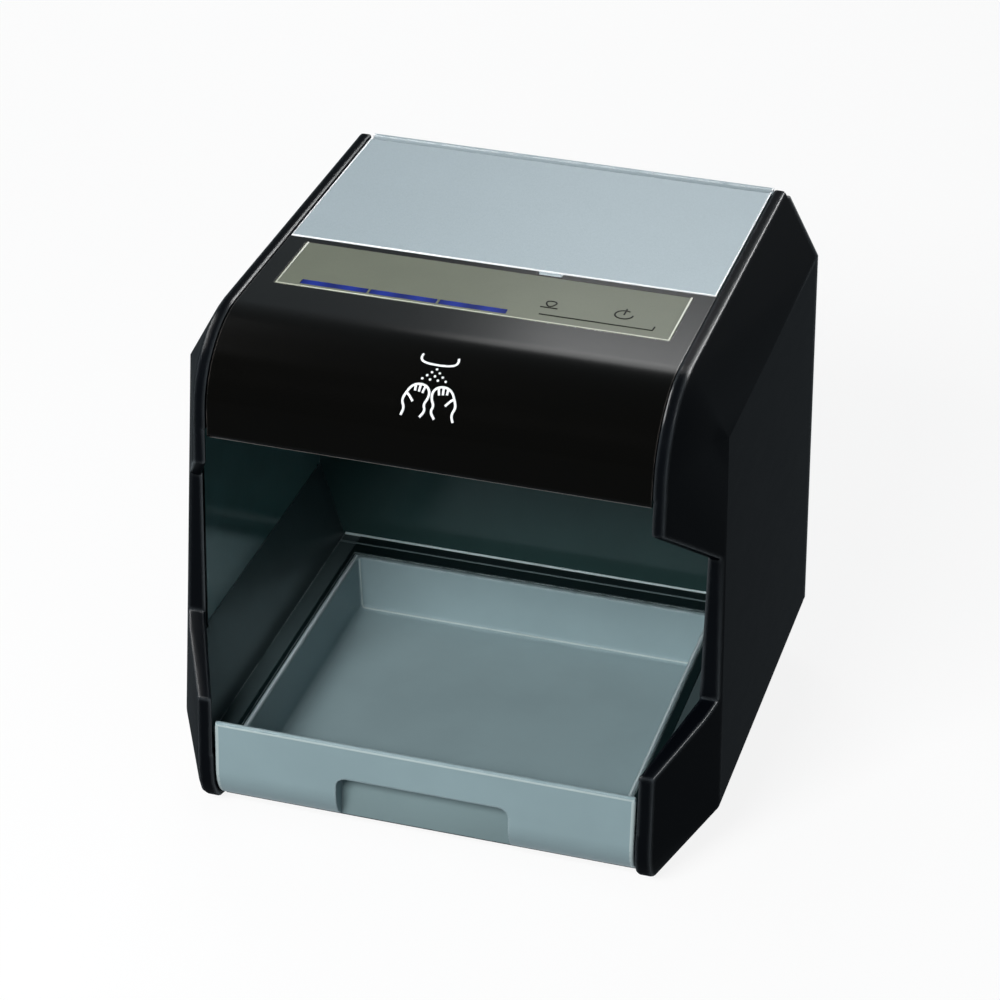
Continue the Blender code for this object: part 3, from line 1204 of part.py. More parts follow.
def pump_cover():
    """The plate that closes the gear pocket, with the two hose spigots."""
    left = PUMP_X + GEAR_WIDTH + GEAR_FACE_GAP + SEAT_GAP
    plate = prism("pump_cover", pump_block_outline(), "X", left, left + PUMP_COVER_THICKNESS, "pump_grey")
    port_z = (MOTOR_AXIS_Z + DRIVEN_AXIS_Z) / 2
    for side in (-1, 1):
        port_y = PUMP_ROOM_MIDDLE_Y + side * PUMP_PORT_SPREAD / 2
        spigot = cylinder("pump_spigot", (left + PUMP_COVER_THICKNESS / 2, port_y, port_z), (1, 0, 0),
                          PUMP_COVER_THICKNESS / 2 + PUMP_SPIGOT_LENGTH, PUMP_SPIGOT_RADIUS, segments=20)
        join(plate, spigot)
        bore = cylinder("pump_spigot_bore", (left - CUT_OVERRUN, port_y, port_z), (1, 0, 0),
                        PUMP_COVER_THICKNESS + PUMP_SPIGOT_LENGTH + 2 * CUT_OVERRUN, PUMP_PORT_RADIUS,
                        segments=16)
        cut(plate, bore)
    for z in (MOTOR_AXIS_Z, DRIVEN_AXIS_Z):
        radius = SHAFT_RADIUS if z == MOTOR_AXIS_Z else JOURNAL_RADIUS
        seat = cylinder("cover_axle_seat", (left - CUT_OVERRUN, PUMP_ROOM_MIDDLE_Y, z), (1, 0, 0),
                        CUT_OVERRUN + JOURNAL_LENGTH, radius + JOURNAL_GAP, segments=24)
        cut(plate, seat)
    return plate


def motor():
    """The pump's motor, with a boss at the pump's side and terminals behind, in its cradle."""
    pump_left = PUMP_X - GEAR_FACE_GAP - PUMP_WALL
    face = pump_left - SEAT_GAP - MOTOR_BOSS_LENGTH
    centre = (PUMP_ROOM_MIDDLE_Y, MOTOR_AXIS_Z)
    can = cylinder("motor", (face - MOTOR_LENGTH, *centre), (1, 0, 0), MOTOR_LENGTH, MOTOR_RADIUS, "steel")
    rounded(can, MOTOR_ROUND, 2, math.radians(60))
    boss = cylinder("motor_boss", (face - MOTOR_BOSS_LENGTH, *centre), (1, 0, 0), 2 * MOTOR_BOSS_LENGTH,
                    MOTOR_BOSS_RADIUS)
    join(can, boss)
    for side in (-1, 1):
        tag_y = PUMP_ROOM_MIDDLE_Y + side * MOTOR_RADIUS / 2
        tag = box("motor_tag", (face - MOTOR_LENGTH - MOTOR_TERMINAL_LENGTH, tag_y - BOARD_THICKNESS / 2,
                                MOTOR_AXIS_Z - BOARD_THICKNESS / 4),
                  (face - MOTOR_LENGTH + MOTOR_ROUND, tag_y + BOARD_THICKNESS / 2,
                   MOTOR_AXIS_Z + BOARD_THICKNESS / 4))
        join(can, tag)
    way = cylinder("motor_shaft_way", (face - MOTOR_SHAFT_DEPTH, *centre), (1, 0, 0),
                   MOTOR_SHAFT_DEPTH + MOTOR_BOSS_LENGTH + CUT_OVERRUN, SHAFT_RADIUS + JOURNAL_GAP, segments=24)
    cut(can, way)
    start = face - MOTOR_LENGTH / 2 - CRADLE_LENGTH / 2
    half = CRADLE_WIDTH / 2
    cradle = box("motor_cradle", (start, PUMP_ROOM_MIDDLE_Y - half, BASE_TOP + SEAT_GAP),
                 (start + CRADLE_LENGTH, PUMP_ROOM_MIDDLE_Y + half,
                  BASE_TOP + CRADLE_LIFT + CRADLE_WRAP), "base_black")
    hollow = cylinder("cradle_hollow", (start - CUT_OVERRUN, *centre), (1, 0, 0),
                      CRADLE_LENGTH + 2 * CUT_OVERRUN, MOTOR_RADIUS + SEAT_GAP, segments=48)
    cut(cradle, hollow)
    return can, cradle


def smooth_route(points, step):
    """Points about step apart on a Catmull-Rom curve through the given ones."""
    points = [Vector(point) for point in points]
    ends = [points[0] * 2 - points[1]] + points + [points[-1] * 2 - points[-2]]
    route = []
    for before, start, end, after in zip(ends, ends[1:], ends[2:], ends[3:]):
        count = max(2, round((end - start).length / step))
        for number in range(count):
            t = number / count
            route.append(0.5 * ((2 * start) + (end - before) * t
                                + (2 * before - 5 * start + 4 * end - after) * t * t
                                + (3 * start - before - 3 * end + after) * t * t * t))
    route.append(points[-1])
    return route


def tube(name, points, bore_ends):
    """A hose along a route, bored at both ends where it is pushed over a spigot."""
    curve = bpy.data.curves.new(name, "CURVE")
    curve.dimensions = "3D"
    curve.bevel_depth = TUBE_RADIUS
    curve.bevel_resolution = 2
    curve.use_fill_caps = True
    route = smooth_route(points, TUBE_POINT_STEP)
    spline = curve.splines.new("POLY")
    spline.points.add(len(route) - 1)
    for point, place in zip(spline.points, route):
        point.co = (*place, 1.0)
    guide = bpy.data.objects.new(name + "_guide", curve)
    CUTTERS.objects.link(guide)
    guide.hide_render = True
    hose = evaluated_copy(name, guide, "tube_clear")
    bm = bmesh.new()
    bm.from_mesh(hose.data)
    bmesh.ops.remove_doubles(bm, verts=bm.verts, dist=MERGE_DISTANCE)
    bmesh.ops.recalc_face_normals(bm, faces=bm.faces)
    bm.to_mesh(hose.data)
    bm.free()
    bpy.data.objects.remove(guide)
    for number, (end, axis, length, radius) in enumerate(bore_ends):
        start = Vector(end) - Vector(axis) * CUT_OVERRUN
        bore = cylinder("%s_bore_%d" % (name, number), start, axis, length + CUT_OVERRUN,
                        radius + TUBE_BORE_GAP, segments=20)
        cut(hose, bore)
    return hose


def tubes():
    """The suction hose from the tank to the pump, and the spray hose from the pump to the nozzle."""
    port_z = (MOTOR_AXIS_Z + DRIVEN_AXIS_Z) / 2
    cover_face = PUMP_X + GEAR_WIDTH + GEAR_FACE_GAP + SEAT_GAP + PUMP_COVER_THICKNESS
    start = cover_face + SEAT_GAP
    spread = PUMP_PORT_SPREAD / 2
    inlet = (start, PUMP_ROOM_MIDDLE_Y - spread, port_z)
    outlet = (start, PUMP_ROOM_MIDDLE_Y + spread, port_z)
    spigot_end = TANK_BOTTOM - OUTLET_LENGTH
    seat = spigot_end - SEAT_GAP
    room = DECK_BOTTOM - port_z
    suction_x = OUTLET_OFFSET_X
    suction = [
        inlet,
        (start + PUMP_SPIGOT_LENGTH, inlet[1], port_z),
        (suction_x - TUBE_RADIUS, inlet[1], port_z + 2 * TUBE_RADIUS),
        (suction_x, inlet[1], port_z + room / 5),
        (suction_x, (inlet[1] + outlet_y()) / 2, port_z + room / 2),
        (suction_x, outlet_y(), seat - room / 6),
        (suction_x, outlet_y(), seat),
    ]
    tube("suction_tube", suction, [(inlet, (1, 0, 0), PUMP_SPIGOT_LENGTH, PUMP_SPIGOT_RADIUS)])
    high = DECK_TOP + SPRAY_TUBE_LIFT
    barb_z = DECK_TOP + SEAT_GAP + NOZZLE_BODY_HEIGHT / 2
    nozzle_y = FRONT + NOZZLE_SETBACK
    nozzle_end = (NOZZLE_BODY_RADIUS + SEAT_GAP, nozzle_y, barb_z)
    bend = 5 * TUBE_RADIUS
    spray_x = SPRAY_TUBE_X
    middle_y = PUMP_ROOM_MIDDLE_Y
    spray = [
        outlet,
        (start + PUMP_SPIGOT_LENGTH, outlet[1], port_z),
        (spray_x - 2 * bend, outlet[1], port_z),
        (spray_x - bend / 3, middle_y, port_z + bend / 2),
        (spray_x, middle_y, port_z + 2 * bend),
        (spray_x, middle_y, port_z + room / 2),
        (spray_x, middle_y, DECK_BOTTOM - bend),
        (spray_x, middle_y, DECK_TOP),
        (spray_x, middle_y - bend / 2, high),
        (spray_x, middle_y - 2 * bend, high),
        (spray_x, (middle_y - 2 * bend + TANK_FRONT) / 2, high),
        (spray_x, TANK_FRONT, high),
        (spray_x - bend / 2, nozzle_y + bend / 2, high),
        (spray_x - 2 * bend, nozzle_y, barb_z),
        (nozzle_end[0] + 2 * bend, nozzle_y, barb_z),
        nozzle_end,
    ]
    tube("spray_tube", spray, [(outlet, (1, 0, 0), PUMP_SPIGOT_LENGTH, PUMP_SPIGOT_RADIUS),
                               (nozzle_end, (1, 0, 0), NOZZLE_BARB_LENGTH, NOZZLE_BARB_RADIUS)])


def board_places():
    """Low and high corner of the main board, as (x, z)."""
    left = -CAVITY_SIDE + MAIN_BOARD_LEFT_INSET
    low = (left, MAIN_BOARD_BOTTOM_HEIGHT)
    return low, (left + MAIN_BOARD_WIDTH, MAIN_BOARD_BOTTOM_HEIGHT + MAIN_BOARD_HEIGHT)


def board_holes():
    (left, low), (right, high) = board_places()
    inset = MAIN_BOARD_HOLE_INSET
    return [(x, z) for x in (left + inset, right - inset) for z in (low + inset, high - inset)]


def main_board():
    """The control board on bosses behind the cavity, with its larger components."""
    (left, low), (right, high) = board_places()
    front = BACK_WALL_BACK + BOARD_BOSS_LENGTH + SEAT_GAP
    back = front + BOARD_THICKNESS
    board = box("main_board", (left, front, low), (right, back, high), "board_green")
    width, height = right - left, high - low
    component_shares = ((0.18, 0.25, 0.22, 0.18, 5.0), (0.55, 0.20, 0.18, 0.30, 3.5),
                        (0.20, 0.62, 0.30, 0.20, 2.0), (0.62, 0.66, 0.20, 0.18, 6.0))
    for number, (across, up, wide, tall, thick) in enumerate(component_shares):
        corner = (left + across * width, back - BOARD_THICKNESS / 2, low + up * height)
        far = (corner[0] + wide * width, back + thick * BOARD_THICKNESS, corner[2] + tall * height)
        join(board, box("board_component_%d" % number, corner, far))
    return board


def housing_section():
    """The housing seen from behind, as (x, z)."""
    side = [
        (RIM_SIDE, BOTTOM),
        (SIDE, SKIRT_HEIGHT),
        (SIDE - SIDE_LEAN, SHOULDER_HEIGHT),
        (RIM_SIDE - RIM_LEAN, HOUSING_HEIGHT),
    ]
    return mirrored_points(side)


def well_places():
    """Low and high corner of the power well in the rear cover, as (x, z)."""
    left = -SIDE + WELL_SIDE_INSET
    return (left, WELL_BOTTOM_HEIGHT), (left + WELL_WIDTH, WELL_BOTTOM_HEIGHT + WELL_HEIGHT)


def power_places():
    """The middle of the jack and of the switch in the well, as (x, z)."""
    (left, low), (right, high) = well_places()
    middle = (low + high) / 2
    return (left + WELL_WIDTH / 4, middle), (right - WELL_WIDTH / 3, middle)


def rear_cover():
    """The back panel, with a sunk well for the power jack and the switch."""
    panel = prism("rear_cover", housing_section(), "Y", BACK - WALL, BACK, "cover_black")
    rounded(panel, COVER_ROUND / 2, 1, math.radians(30))
    (left, low), (right, high) = well_places()
    floor = BACK - WELL_DEPTH
    shell = box("well_shell", (left - WELL_WALL, floor - WELL_WALL, low - WELL_WALL),
                (right + WELL_WALL, BACK - WALL / 2, high + WELL_WALL))
    room = box("well_room", (left, floor, low), (right, BACK + CUT_OVERRUN, high))
    join(panel, shell)
    cut(panel, room)
    (jack_x, jack_z), (switch_x, switch_z) = power_places()
    jack = cylinder("jack_hole", (jack_x, floor - WELL_WALL - CUT_OVERRUN, jack_z), (0, 1, 0),
                    WELL_WALL + 2 * CUT_OVERRUN, JACK_FLANGE_RADIUS + SEAT_GAP)
    half_width = SWITCH_WIDTH / 2 - SWITCH_RIM / 2 + SEAT_GAP
    half_height = SWITCH_HEIGHT / 2 - SWITCH_RIM / 2 + SEAT_GAP
    switch = box("switch_hole",
                 (switch_x - half_width, floor - WELL_WALL - CUT_OVERRUN, switch_z - half_height),
                 (switch_x + half_width, floor + CUT_OVERRUN, switch_z + half_height))
    cut(panel, jack, switch)
    for name, seat in rear_screw_seats().items():
        screw_way(name, panel, seat, (0, -1, 0))
    return panel


def power_jack():
    """The low-voltage jack: a body behind the well, a round nose through it, a bore and its pin."""
    (x, z), _ = power_places()
    floor = BACK - WELL_DEPTH
    body_back = floor - WELL_WALL - SEAT_GAP
    body = box("power_jack", (x - JACK_WIDTH / 2, body_back - JACK_DEPTH, z - JACK_HEIGHT / 2),
               (x + JACK_WIDTH / 2, body_back, z + JACK_HEIGHT / 2), "base_black")
    face = floor + JACK_PROUD
    nose = cylinder("jack_nose", (x, body_back - WELL_WALL, z), (0, 1, 0), face - body_back + WELL_WALL,
                    JACK_FLANGE_RADIUS)
    bore = cylinder("jack_bore", (x, face + CUT_OVERRUN, z), (0, -1, 0), JACK_BORE_DEPTH + CUT_OVERRUN,
                    JACK_BORE_RADIUS)
    pin = cylinder("jack_pin", (x, face - JACK_PROUD, z), (0, -1, 0), JACK_BORE_DEPTH, JACK_PIN_RADIUS,
                   segments=16)
    join(body, nose)
    cut(body, bore)
    join(body, pin)
    return body


def power_switch():
    """The switch's frame in the well, and the rocker that tilts in it."""
    _, (x, z) = power_places()
    floor = BACK - WELL_DEPTH
    face = floor + SEAT_GAP + SWITCH_PROUD
    frame = box("switch_frame", (x - SWITCH_WIDTH / 2, floor + SEAT_GAP, z - SWITCH_HEIGHT / 2),
                (x + SWITCH_WIDTH / 2, face, z + SWITCH_HEIGHT / 2), "base_black")
    body_width = SWITCH_WIDTH / 2 - SWITCH_RIM / 2
    body_height = SWITCH_HEIGHT / 2 - SWITCH_RIM / 2
    body = box("switch_body", (x - body_width, face - SWITCH_DEPTH, z - body_height),
               (x + body_width, floor + SEAT_GAP + SWITCH_PROUD / 2, z + body_height))
    room_width = SWITCH_WIDTH / 2 - SWITCH_RIM
    room_height = SWITCH_HEIGHT / 2 - SWITCH_RIM
    room_depth = SWITCH_DEPTH - SWITCH_RIM
    room = box("switch_room", (x - room_width, face - room_depth, z - room_height),
               (x + room_width, face + CUT_OVERRUN, z + room_height))
    join(frame, body)
    cut(frame, room)
    pivot = Vector((x, face - ROCKER_BODY_DEPTH / 2, z))
    half = room_width - ROCKER_GAP
    crown = face + ROCKER_PROUD - pivot.y
    drop = half * math.tan(ROCKER_TILT)
    outline = [
        (-half * math.cos(ROCKER_TILT), crown),
        (0, crown - drop),
        (half * math.cos(ROCKER_TILT), crown),
        (half * math.cos(ROCKER_TILT) - ROCKER_GAP, -ROCKER_BODY_DEPTH / 2),
        (-half * math.cos(ROCKER_TILT) + ROCKER_GAP, -ROCKER_BODY_DEPTH / 2),
    ]
    turn = Matrix.Rotation(-ROCKER_TILT, 2)
    turned_outline = [turn @ Vector(point) for point in outline]
    rocker = prism("rocker", [(pivot.x + a, pivot.y + b) for a, b in turned_outline], "Z",
                   z - room_height + ROCKER_GAP, z + room_height - ROCKER_GAP, "base_black")
    for side in (-1, 1):
        trunnion = cylinder("rocker_trunnion", (pivot.x, pivot.y, z), (0, 0, side),
                            room_height + SWITCH_RIM / 4, SCREW_SHANK_RADIUS / 2, segments=16)
        join(rocker, trunnion)
        seat = cylinder("rocker_seat", (pivot.x, pivot.y, z), (0, 0, side),
                        room_height + SWITCH_RIM / 4 + SEAT_GAP, SCREW_SHANK_RADIUS / 2 + JOURNAL_GAP,
                        segments=16)
        cut(frame, seat)
    put_origin(rocker, pivot)
    return frame, rocker


def link_collections():
    """Puts the parts and the cutters in the scene."""
    bpy.context.scene.collection.children.link(PARTS)
    bpy.context.scene.collection.children.link(CUTTERS)


def main():
    clear_scene()
    link_collections()
    side_cover(-1)
    side_cover(1)
    rear_cover()
    base_plate()
    feet()
    hood_cover()
    control_window()
    light_guide()
    display_board()
    upper_deck()
    liner()
    tray_ledge()
    drip_tray()
    lid()
    hinge_parts(-1)
    hinge_parts(1)
    tank()
    tank_cap()
    nozzle()
    sensor()
    pump_gears()
    pump_housing()
    pump_cover()
    motor()
    tubes()
    main_board()
    power_jack()
    power_switch()
    screws()


main()
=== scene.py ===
"""Looks of a touch-free hand sanitizer dispenser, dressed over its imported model.

Metres, +Z up. The front faces -Y, and the origin is on the floor under the middle of the object.
"""

import json
import logging
import math
from collections.abc import Sequence
from dataclasses import dataclass, field, replace
from enum import Enum

import bmesh
import bpy
from mathutils import Matrix, Vector
from mathutils.bvhtree import BVHTree

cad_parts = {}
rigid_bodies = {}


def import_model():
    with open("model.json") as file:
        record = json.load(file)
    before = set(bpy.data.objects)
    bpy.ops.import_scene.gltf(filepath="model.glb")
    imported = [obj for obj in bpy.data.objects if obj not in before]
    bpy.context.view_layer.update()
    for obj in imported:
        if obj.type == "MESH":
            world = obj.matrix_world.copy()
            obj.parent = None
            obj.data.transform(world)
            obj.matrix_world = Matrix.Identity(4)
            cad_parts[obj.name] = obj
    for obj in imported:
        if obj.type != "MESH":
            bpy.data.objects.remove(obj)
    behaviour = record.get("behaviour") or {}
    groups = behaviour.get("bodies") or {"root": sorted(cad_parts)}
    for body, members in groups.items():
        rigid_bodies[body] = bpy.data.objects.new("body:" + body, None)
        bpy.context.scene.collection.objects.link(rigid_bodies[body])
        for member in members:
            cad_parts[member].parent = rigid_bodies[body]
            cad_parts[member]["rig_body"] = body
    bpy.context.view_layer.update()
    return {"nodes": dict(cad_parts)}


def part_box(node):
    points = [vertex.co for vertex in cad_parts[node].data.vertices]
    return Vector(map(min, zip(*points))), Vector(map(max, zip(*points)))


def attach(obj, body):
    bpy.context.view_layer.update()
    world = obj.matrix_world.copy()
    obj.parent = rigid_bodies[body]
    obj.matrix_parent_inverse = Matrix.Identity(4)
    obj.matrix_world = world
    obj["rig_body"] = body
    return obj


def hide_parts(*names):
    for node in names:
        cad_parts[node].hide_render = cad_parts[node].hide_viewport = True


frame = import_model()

LOG = logging.getLogger("dispenser")
MM = 0.001
MERGE = 2e-6  # points closer than this are one
FLAT = math.radians(0.3)  # faces that turn less than this are one
NORMAL_WEIGHT = 60  # how much more a large face turns the shading than a small one
RAY_START = 200.0 * MM  # from the hood's inside to where its face's rays start
BEVEL_SAMPLES = 3
MIX_COLOURS, MIX_RESULT = (6, 7), 2  # a Mix node's sockets for colours, by number
BEAD_STEPS = 10
BALL_STEPS, BALL_RINGS = 12, 8
ROD_SIDES = 10
NOISE_RANGE = (0.3, 0.7)  # where nearly all values of a noise lie
SMEAR_RANGE = (0.3, 0.55)
EDGE_RANGE = (0.01, 0.22)  # 1 minus the cosine of a rounded edge's turn
EDGE_REACH = 1.4  # how far past its rounding an edge is worn and painted with a highlight
SPARK_SHARE = 1.35  # how much lighter a flake is than its paint
ROUND_STEPS, ROUND_PROFILE = 2, 0.5  # of an edge that is rounded in the mesh
CORNER_CUT = 0.25  # share of a line's step that rounding cuts off at each end
SHORTEST = 1e-9  # the least length that is divided by
SIDES = ("left", "right")

Colour = tuple[float, float, float]
Place = tuple[float, float, float]
Line = Sequence[tuple[float, float]]
Shares = tuple[float, float]
Value = object  # a number, a colour or a socket


class Body(Enum):
    """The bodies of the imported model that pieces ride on."""

    CHASSIS = "chassis"
    TRAY = "tray"
    LID = "lid"
    CAP = "cap"
    DRIVE = "drive"
    DRIVEN = "driven"
    ROCKER = "rocker"


class Shows(Enum):
    """What a lamp is for."""

    LIGHT = "lights the object, and gloss does not mirror it"
    SHEEN = "is a card that only gloss mirrors"


class Sock:
    """A node's output socket. Operators on it add Math nodes to its tree."""

    def __init__(self, tree: "Tree", socket: bpy.types.NodeSocket) -> None:
        """Wraps one output socket."""
        self.tree = tree
        self.socket = socket

    def maths(self, operation: str, first: Value, second: Value = 0.0) -> "Sock":
        """The result of a new Math node of that operation on two values or links."""
        made = self.tree.node("ShaderNodeMath", {"operation": operation}, {0: first, 1: second})
        return made["Value"]

    def __add__(self, other: Value) -> "Sock":
        """Adds."""
        return self.maths("ADD", self, other)

    def __radd__(self, other: Value) -> "Sock":
        """Adds, from the right."""
        return self.maths("ADD", other, self)

    def __sub__(self, other: Value) -> "Sock":
        """Subtracts."""
        return self.maths("SUBTRACT", self, other)

    def __rsub__(self, other: Value) -> "Sock":
        """Is subtracted."""
        return self.maths("SUBTRACT", other, self)

    def __mul__(self, other: Value) -> "Sock":
        """Multiplies."""
        return self.maths("MULTIPLY", self, other)

    def __rmul__(self, other: Value) -> "Sock":
        """Multiplies, from the right."""
        return self.maths("MULTIPLY", other, self)

    def between(self, low: float, high: float) -> "Sock":
        """Spreads a range of values over 0 to 1, smoothly.

        Args:
            low: the value that becomes 0, as all below it do.
            high: the value that becomes 1, as all above it do.

        Returns:
            The spread value.
        """
        values = {"Value": self, "From Min": low, "From Max": high}
        smooth = {"interpolation_type": "SMOOTHSTEP"}
        return self.tree.node("ShaderNodeMapRange", smooth, values)["Result"]


class Made:
    """A new node, whose outputs are read by name or number as sockets of the maths."""

    def __init__(self, tree: "Tree", node: bpy.types.Node) -> None:
        """Wraps a node of a tree."""
        self.tree = tree
        self.source = node

    def __getitem__(self, key: str | int) -> Sock:
        """The output of that name or number."""
        return Sock(self.tree, self.source.outputs[key])


class Tree:
    """A shader or geometry tree, whose nodes all come from one method."""

    def __init__(self, group: bpy.types.NodeTree) -> None:
        """Wraps a node tree."""
        self.group = group

    def node(self, kind: str, settings: dict | None = None, values: dict | None = None) -> Made:
        """Adds a node of any type.

        Args:
            kind: the node's type.
            settings: its own settings, such as a Math node's operation, which are set first.
            values: values or links of its input sockets, by name or number.

        Returns:
            The node, for its outputs.
        """
        made = self.group.nodes.new(kind)
        for name, setting in (settings or {}).items():
            setattr(made, name, setting)
        for key, value in (values or {}).items():
            if isinstance(value, Sock):
                self.group.links.new(value.socket, made.inputs[key])
            else:
                made.inputs[key].default_value = value
        return Made(self, made)

    def mix(self, share: Value, first: Value, second: Value) -> Sock:
        """Blends two colours.

        Args:
            share: how much of the second colour there is, 0 to 1.
            first: a colour or a link.
            second: a colour or a link.

        Returns:
            The blend.
        """
        values = {0: share}
        for number, colour in zip(MIX_COLOURS, (first, second)):
            values[number] = colour if isinstance(colour, Sock) else (*colour, 1)
        return self.node("ShaderNodeMix", {"data_type": "RGBA"}, values)[MIX_RESULT]


class Skin(Tree):
    """A material's shader tree, with the patterns that the finishes share."""

    def __init__(self, name: str) -> None:
        """Starts an empty material.

        Args:
            name: the material's name.
        """
        self.material = bpy.data.materials.new(name)
        self.material.use_nodes = True
        super().__init__(self.material.node_tree)
        self.group.nodes.clear()
        self.place = self.node("ShaderNodeTexCoord")["Object"]

    def stretched(self, scale: tuple[float, float, float]) -> Sock:
        """The place on the piece, stretched along the axes."""
        return self.node("ShaderNodeMapping", {}, {"Vector": self.place, "Scale": scale})["Vector"]

    def noise(self, size: float, detail: float = 2.0, place: Sock | None = None) -> Sock:
        """A cloudy pattern, about 0.3 to 0.7, of clouds that wide with finer layers in them."""
        values = {"Vector": place or self.place, "Scale": 1 / size, "Detail": detail}
        return self.node("ShaderNodeTexNoise", {}, values)["Fac"]

    def cells(self, size: float) -> Made:
        """Random cells of about that size, for flakes and speckle."""
        return self.node("ShaderNodeTexVoronoi", {}, {"Vector": self.place, "Scale": 1 / size})

    def round_edges(self, radius: float) -> Sock:
        """The normal of edges rounded off by that radius."""
        rounded = self.node("ShaderNodeBevel", {"samples": BEVEL_SAMPLES}, {"Radius": radius})
        return rounded["Normal"]

    def edge_mask(self, radius: float) -> Sock:
        """Finds the edges.

        Args:
            radius: how near an edge counts.

        Returns:
            1 where the surface turns sharply within that radius, 0 on flat faces.
        """
        flat = self.node("ShaderNodeNewGeometry")["Normal"]
        values = {0: flat, 1: self.round_edges(radius)}
        turned = self.node("ShaderNodeVectorMath", {"operation": "DOT_PRODUCT"}, values)["Value"]
        return (1 - turned).between(*EDGE_RANGE)

    def bump(self, height: Sock, depth: float, normal: Sock | None = None) -> Sock:
        """Makes a surface uneven.

        Args:
            height: the pattern of its height.
            depth: by about how much its height changes, in metres.
            normal: the normal it starts from, if not the plain one.

        Returns:
            The uneven surface's normal.
        """
        values = {"Height": height, "Distance": depth, "Strength": 1.0}
        if normal is not None:
            values["Normal"] = normal
        return self.node("ShaderNodeBump", {}, values)["Normal"]

    def surface(self, values: dict) -> bpy.types.Material:
        """Ends the tree in a Principled surface.

        Args:
            values: values or links of its sockets.

        Returns:
            The material.
        """
        shader = self.node("ShaderNodeBsdfPrincipled", {}, values)["BSDF"]
        self.node("ShaderNodeOutputMaterial", {}, {"Surface": shader})
        return self.material


def shade(colour: Colour, share: float) -> Colour:
    """A colour made lighter or darker by a share."""
    return tuple(min(1.0, part * share) for part in colour)


@dataclass(frozen=True)
class Finish:
    """What every finish has.

    Attributes:
        name: the material's name.
        slot: the record's material slot it belongs to; not used.
        colour: its base colour, linear.
        roughness: how blurred its reflections are.
    """

    name: str
    slot: str
    colour: Colour
    roughness: float

    def material(self) -> bpy.types.Material:
        """The Blender material, made once."""
        return bpy.data.materials.get(self.name) or self.make()

    def make(self) -> bpy.types.Material:
        """Builds the material; each kind of finish has its own."""
        raise NotImplementedError


@dataclass(frozen=True)
class Moulded(Finish):
    """Moulded plastic: fine grain, uneven gloss, and edges that catch the light, partly through a
    painted highlight in their colour.

    Attributes:
        specular: strength of its plain reflection, 0.5 for common plastic.
        grain_size, grain_height: width and depth of the mould's grain.
        edge: radius of its edges.
        wear_and_highlight, worn_and_highlight_colour: how much its edges are worn and painted with
        a highlight, and their colour there.
        mottle: how much its colour changes from place to place.
        flake: share of bright flakes, for silver paint.
        metallic: how metallic the paint is.
        coat, coat_roughness, coat_ior: its clear coat.
        polish: how much more coat its rounded edges have, where hands and mould polish them.
        gloss: share of its roughness that is even, and how much smears and clouds add.
        cloud_size, smear_size, spark_size: width of its clouds, smears and flakes.
        smear_stretch: how the smears are stretched along X, Y and Z.
    """

    specular: float = 0.5
    grain_size: float = 0.0007
    grain_height: float = 12e-6
    edge: float = 0.0005
    wear_and_highlight: float = 0.2
    worn_and_highlight_colour: Colour = (0.06, 0.065, 0.07)
    mottle: float = 0.05
    flake: float = 0.0
    metallic: float = 0.0
    coat: float = 0.0
    coat_roughness: float = 0.1
    coat_ior: float = 1.5
    polish: float = 0.0
    gloss: tuple[float, float, float] = (0.9, 0.12, 0.08)
    cloud_size: float = 0.035
    smear_size: float = 0.009
    smear_stretch: tuple[float, float, float] = (1.0, 0.35, 1.6)
    spark_size: float = 0.0004

    def make(self) -> bpy.types.Material:
        """Builds the plastic.

        Returns:
            Its material.
        """
        skin = Skin(self.name)
        clouds = skin.noise(self.cloud_size, detail=3)
        grain = skin.noise(self.grain_size, detail=3)
        smears = skin.noise(self.smear_size, detail=4, place=skin.stretched(self.smear_stretch))
        dark, pale = shade(self.colour, 1 - self.mottle), shade(self.colour, 1 + self.mottle)
        colour = skin.mix(clouds.between(*NOISE_RANGE), dark, pale)
        if self.flake:
            spark = skin.cells(self.spark_size)["Color"]
            value = skin.node("ShaderNodeSeparateColor", {}, {"Color": spark})["Red"]
            colour = skin.mix(value * self.flake, colour, shade(self.colour, SPARK_SHARE))
        edges = skin.edge_mask(self.edge * EDGE_REACH)
        # Pale edges where the smears pass: partly wear, partly a painted highlight along the edges.
        colour = skin.mix(edges * smears.between(*SMEAR_RANGE) * self.wear_and_highlight, colour, self.worn_and_highlight_colour)
        coat = self.coat + edges * self.polish if self.polish else self.coat
        even, smeared, clouded = self.gloss
        return skin.surface({
            "Base Color": colour,
            "Roughness": self.roughness * (even + smeared * smears + clouded * clouds),
            "Normal": skin.bump(grain, self.grain_height, skin.round_edges(self.edge)),
            "Metallic": self.metallic,
            "Specular IOR Level": self.specular,
            "Coat Weight": coat,
            "Coat Roughness": self.coat_roughness,
            "Coat IOR": self.coat_ior,
        })


@dataclass(frozen=True)
class Clear(Finish):
    """See-through plastic with a light haze.

    Attributes:
        transmission: how much light goes through.
        ior: its index of refraction.
        haze, haze_size: depth and width of its unevenness.
        cloud_size: width of the clouds in its colour and gloss.
        gloss: share of its roughness that is even, and how much clouds add.
        depth: share of its colour that is left where it is darkest.
    """

    transmission: float = 0.9
    ior: float = 1.46
    haze: float = 6e-6
    haze_size: float = 0.002
    cloud_size: float = 0.02
    gloss: Shares = (0.8, 0.4)
    depth: float = 0.95

    def make(self) -> bpy.types.Material:
        """Builds the clear plastic.

        Returns:
            Its material.
        """
        skin = Skin(self.name)
        clouds = skin.noise(self.cloud_size)
        dark = shade(self.colour, self.depth)
        even, clouded = self.gloss
        return skin.surface({
            "Base Color": skin.mix(clouds.between(*NOISE_RANGE), dark, self.colour),
            "Roughness": self.roughness * (even + clouded * clouds),
            "Normal": skin.bump(skin.noise(self.haze_size), self.haze),
            "Transmission Weight": self.transmission,
            "IOR": self.ior,
        })


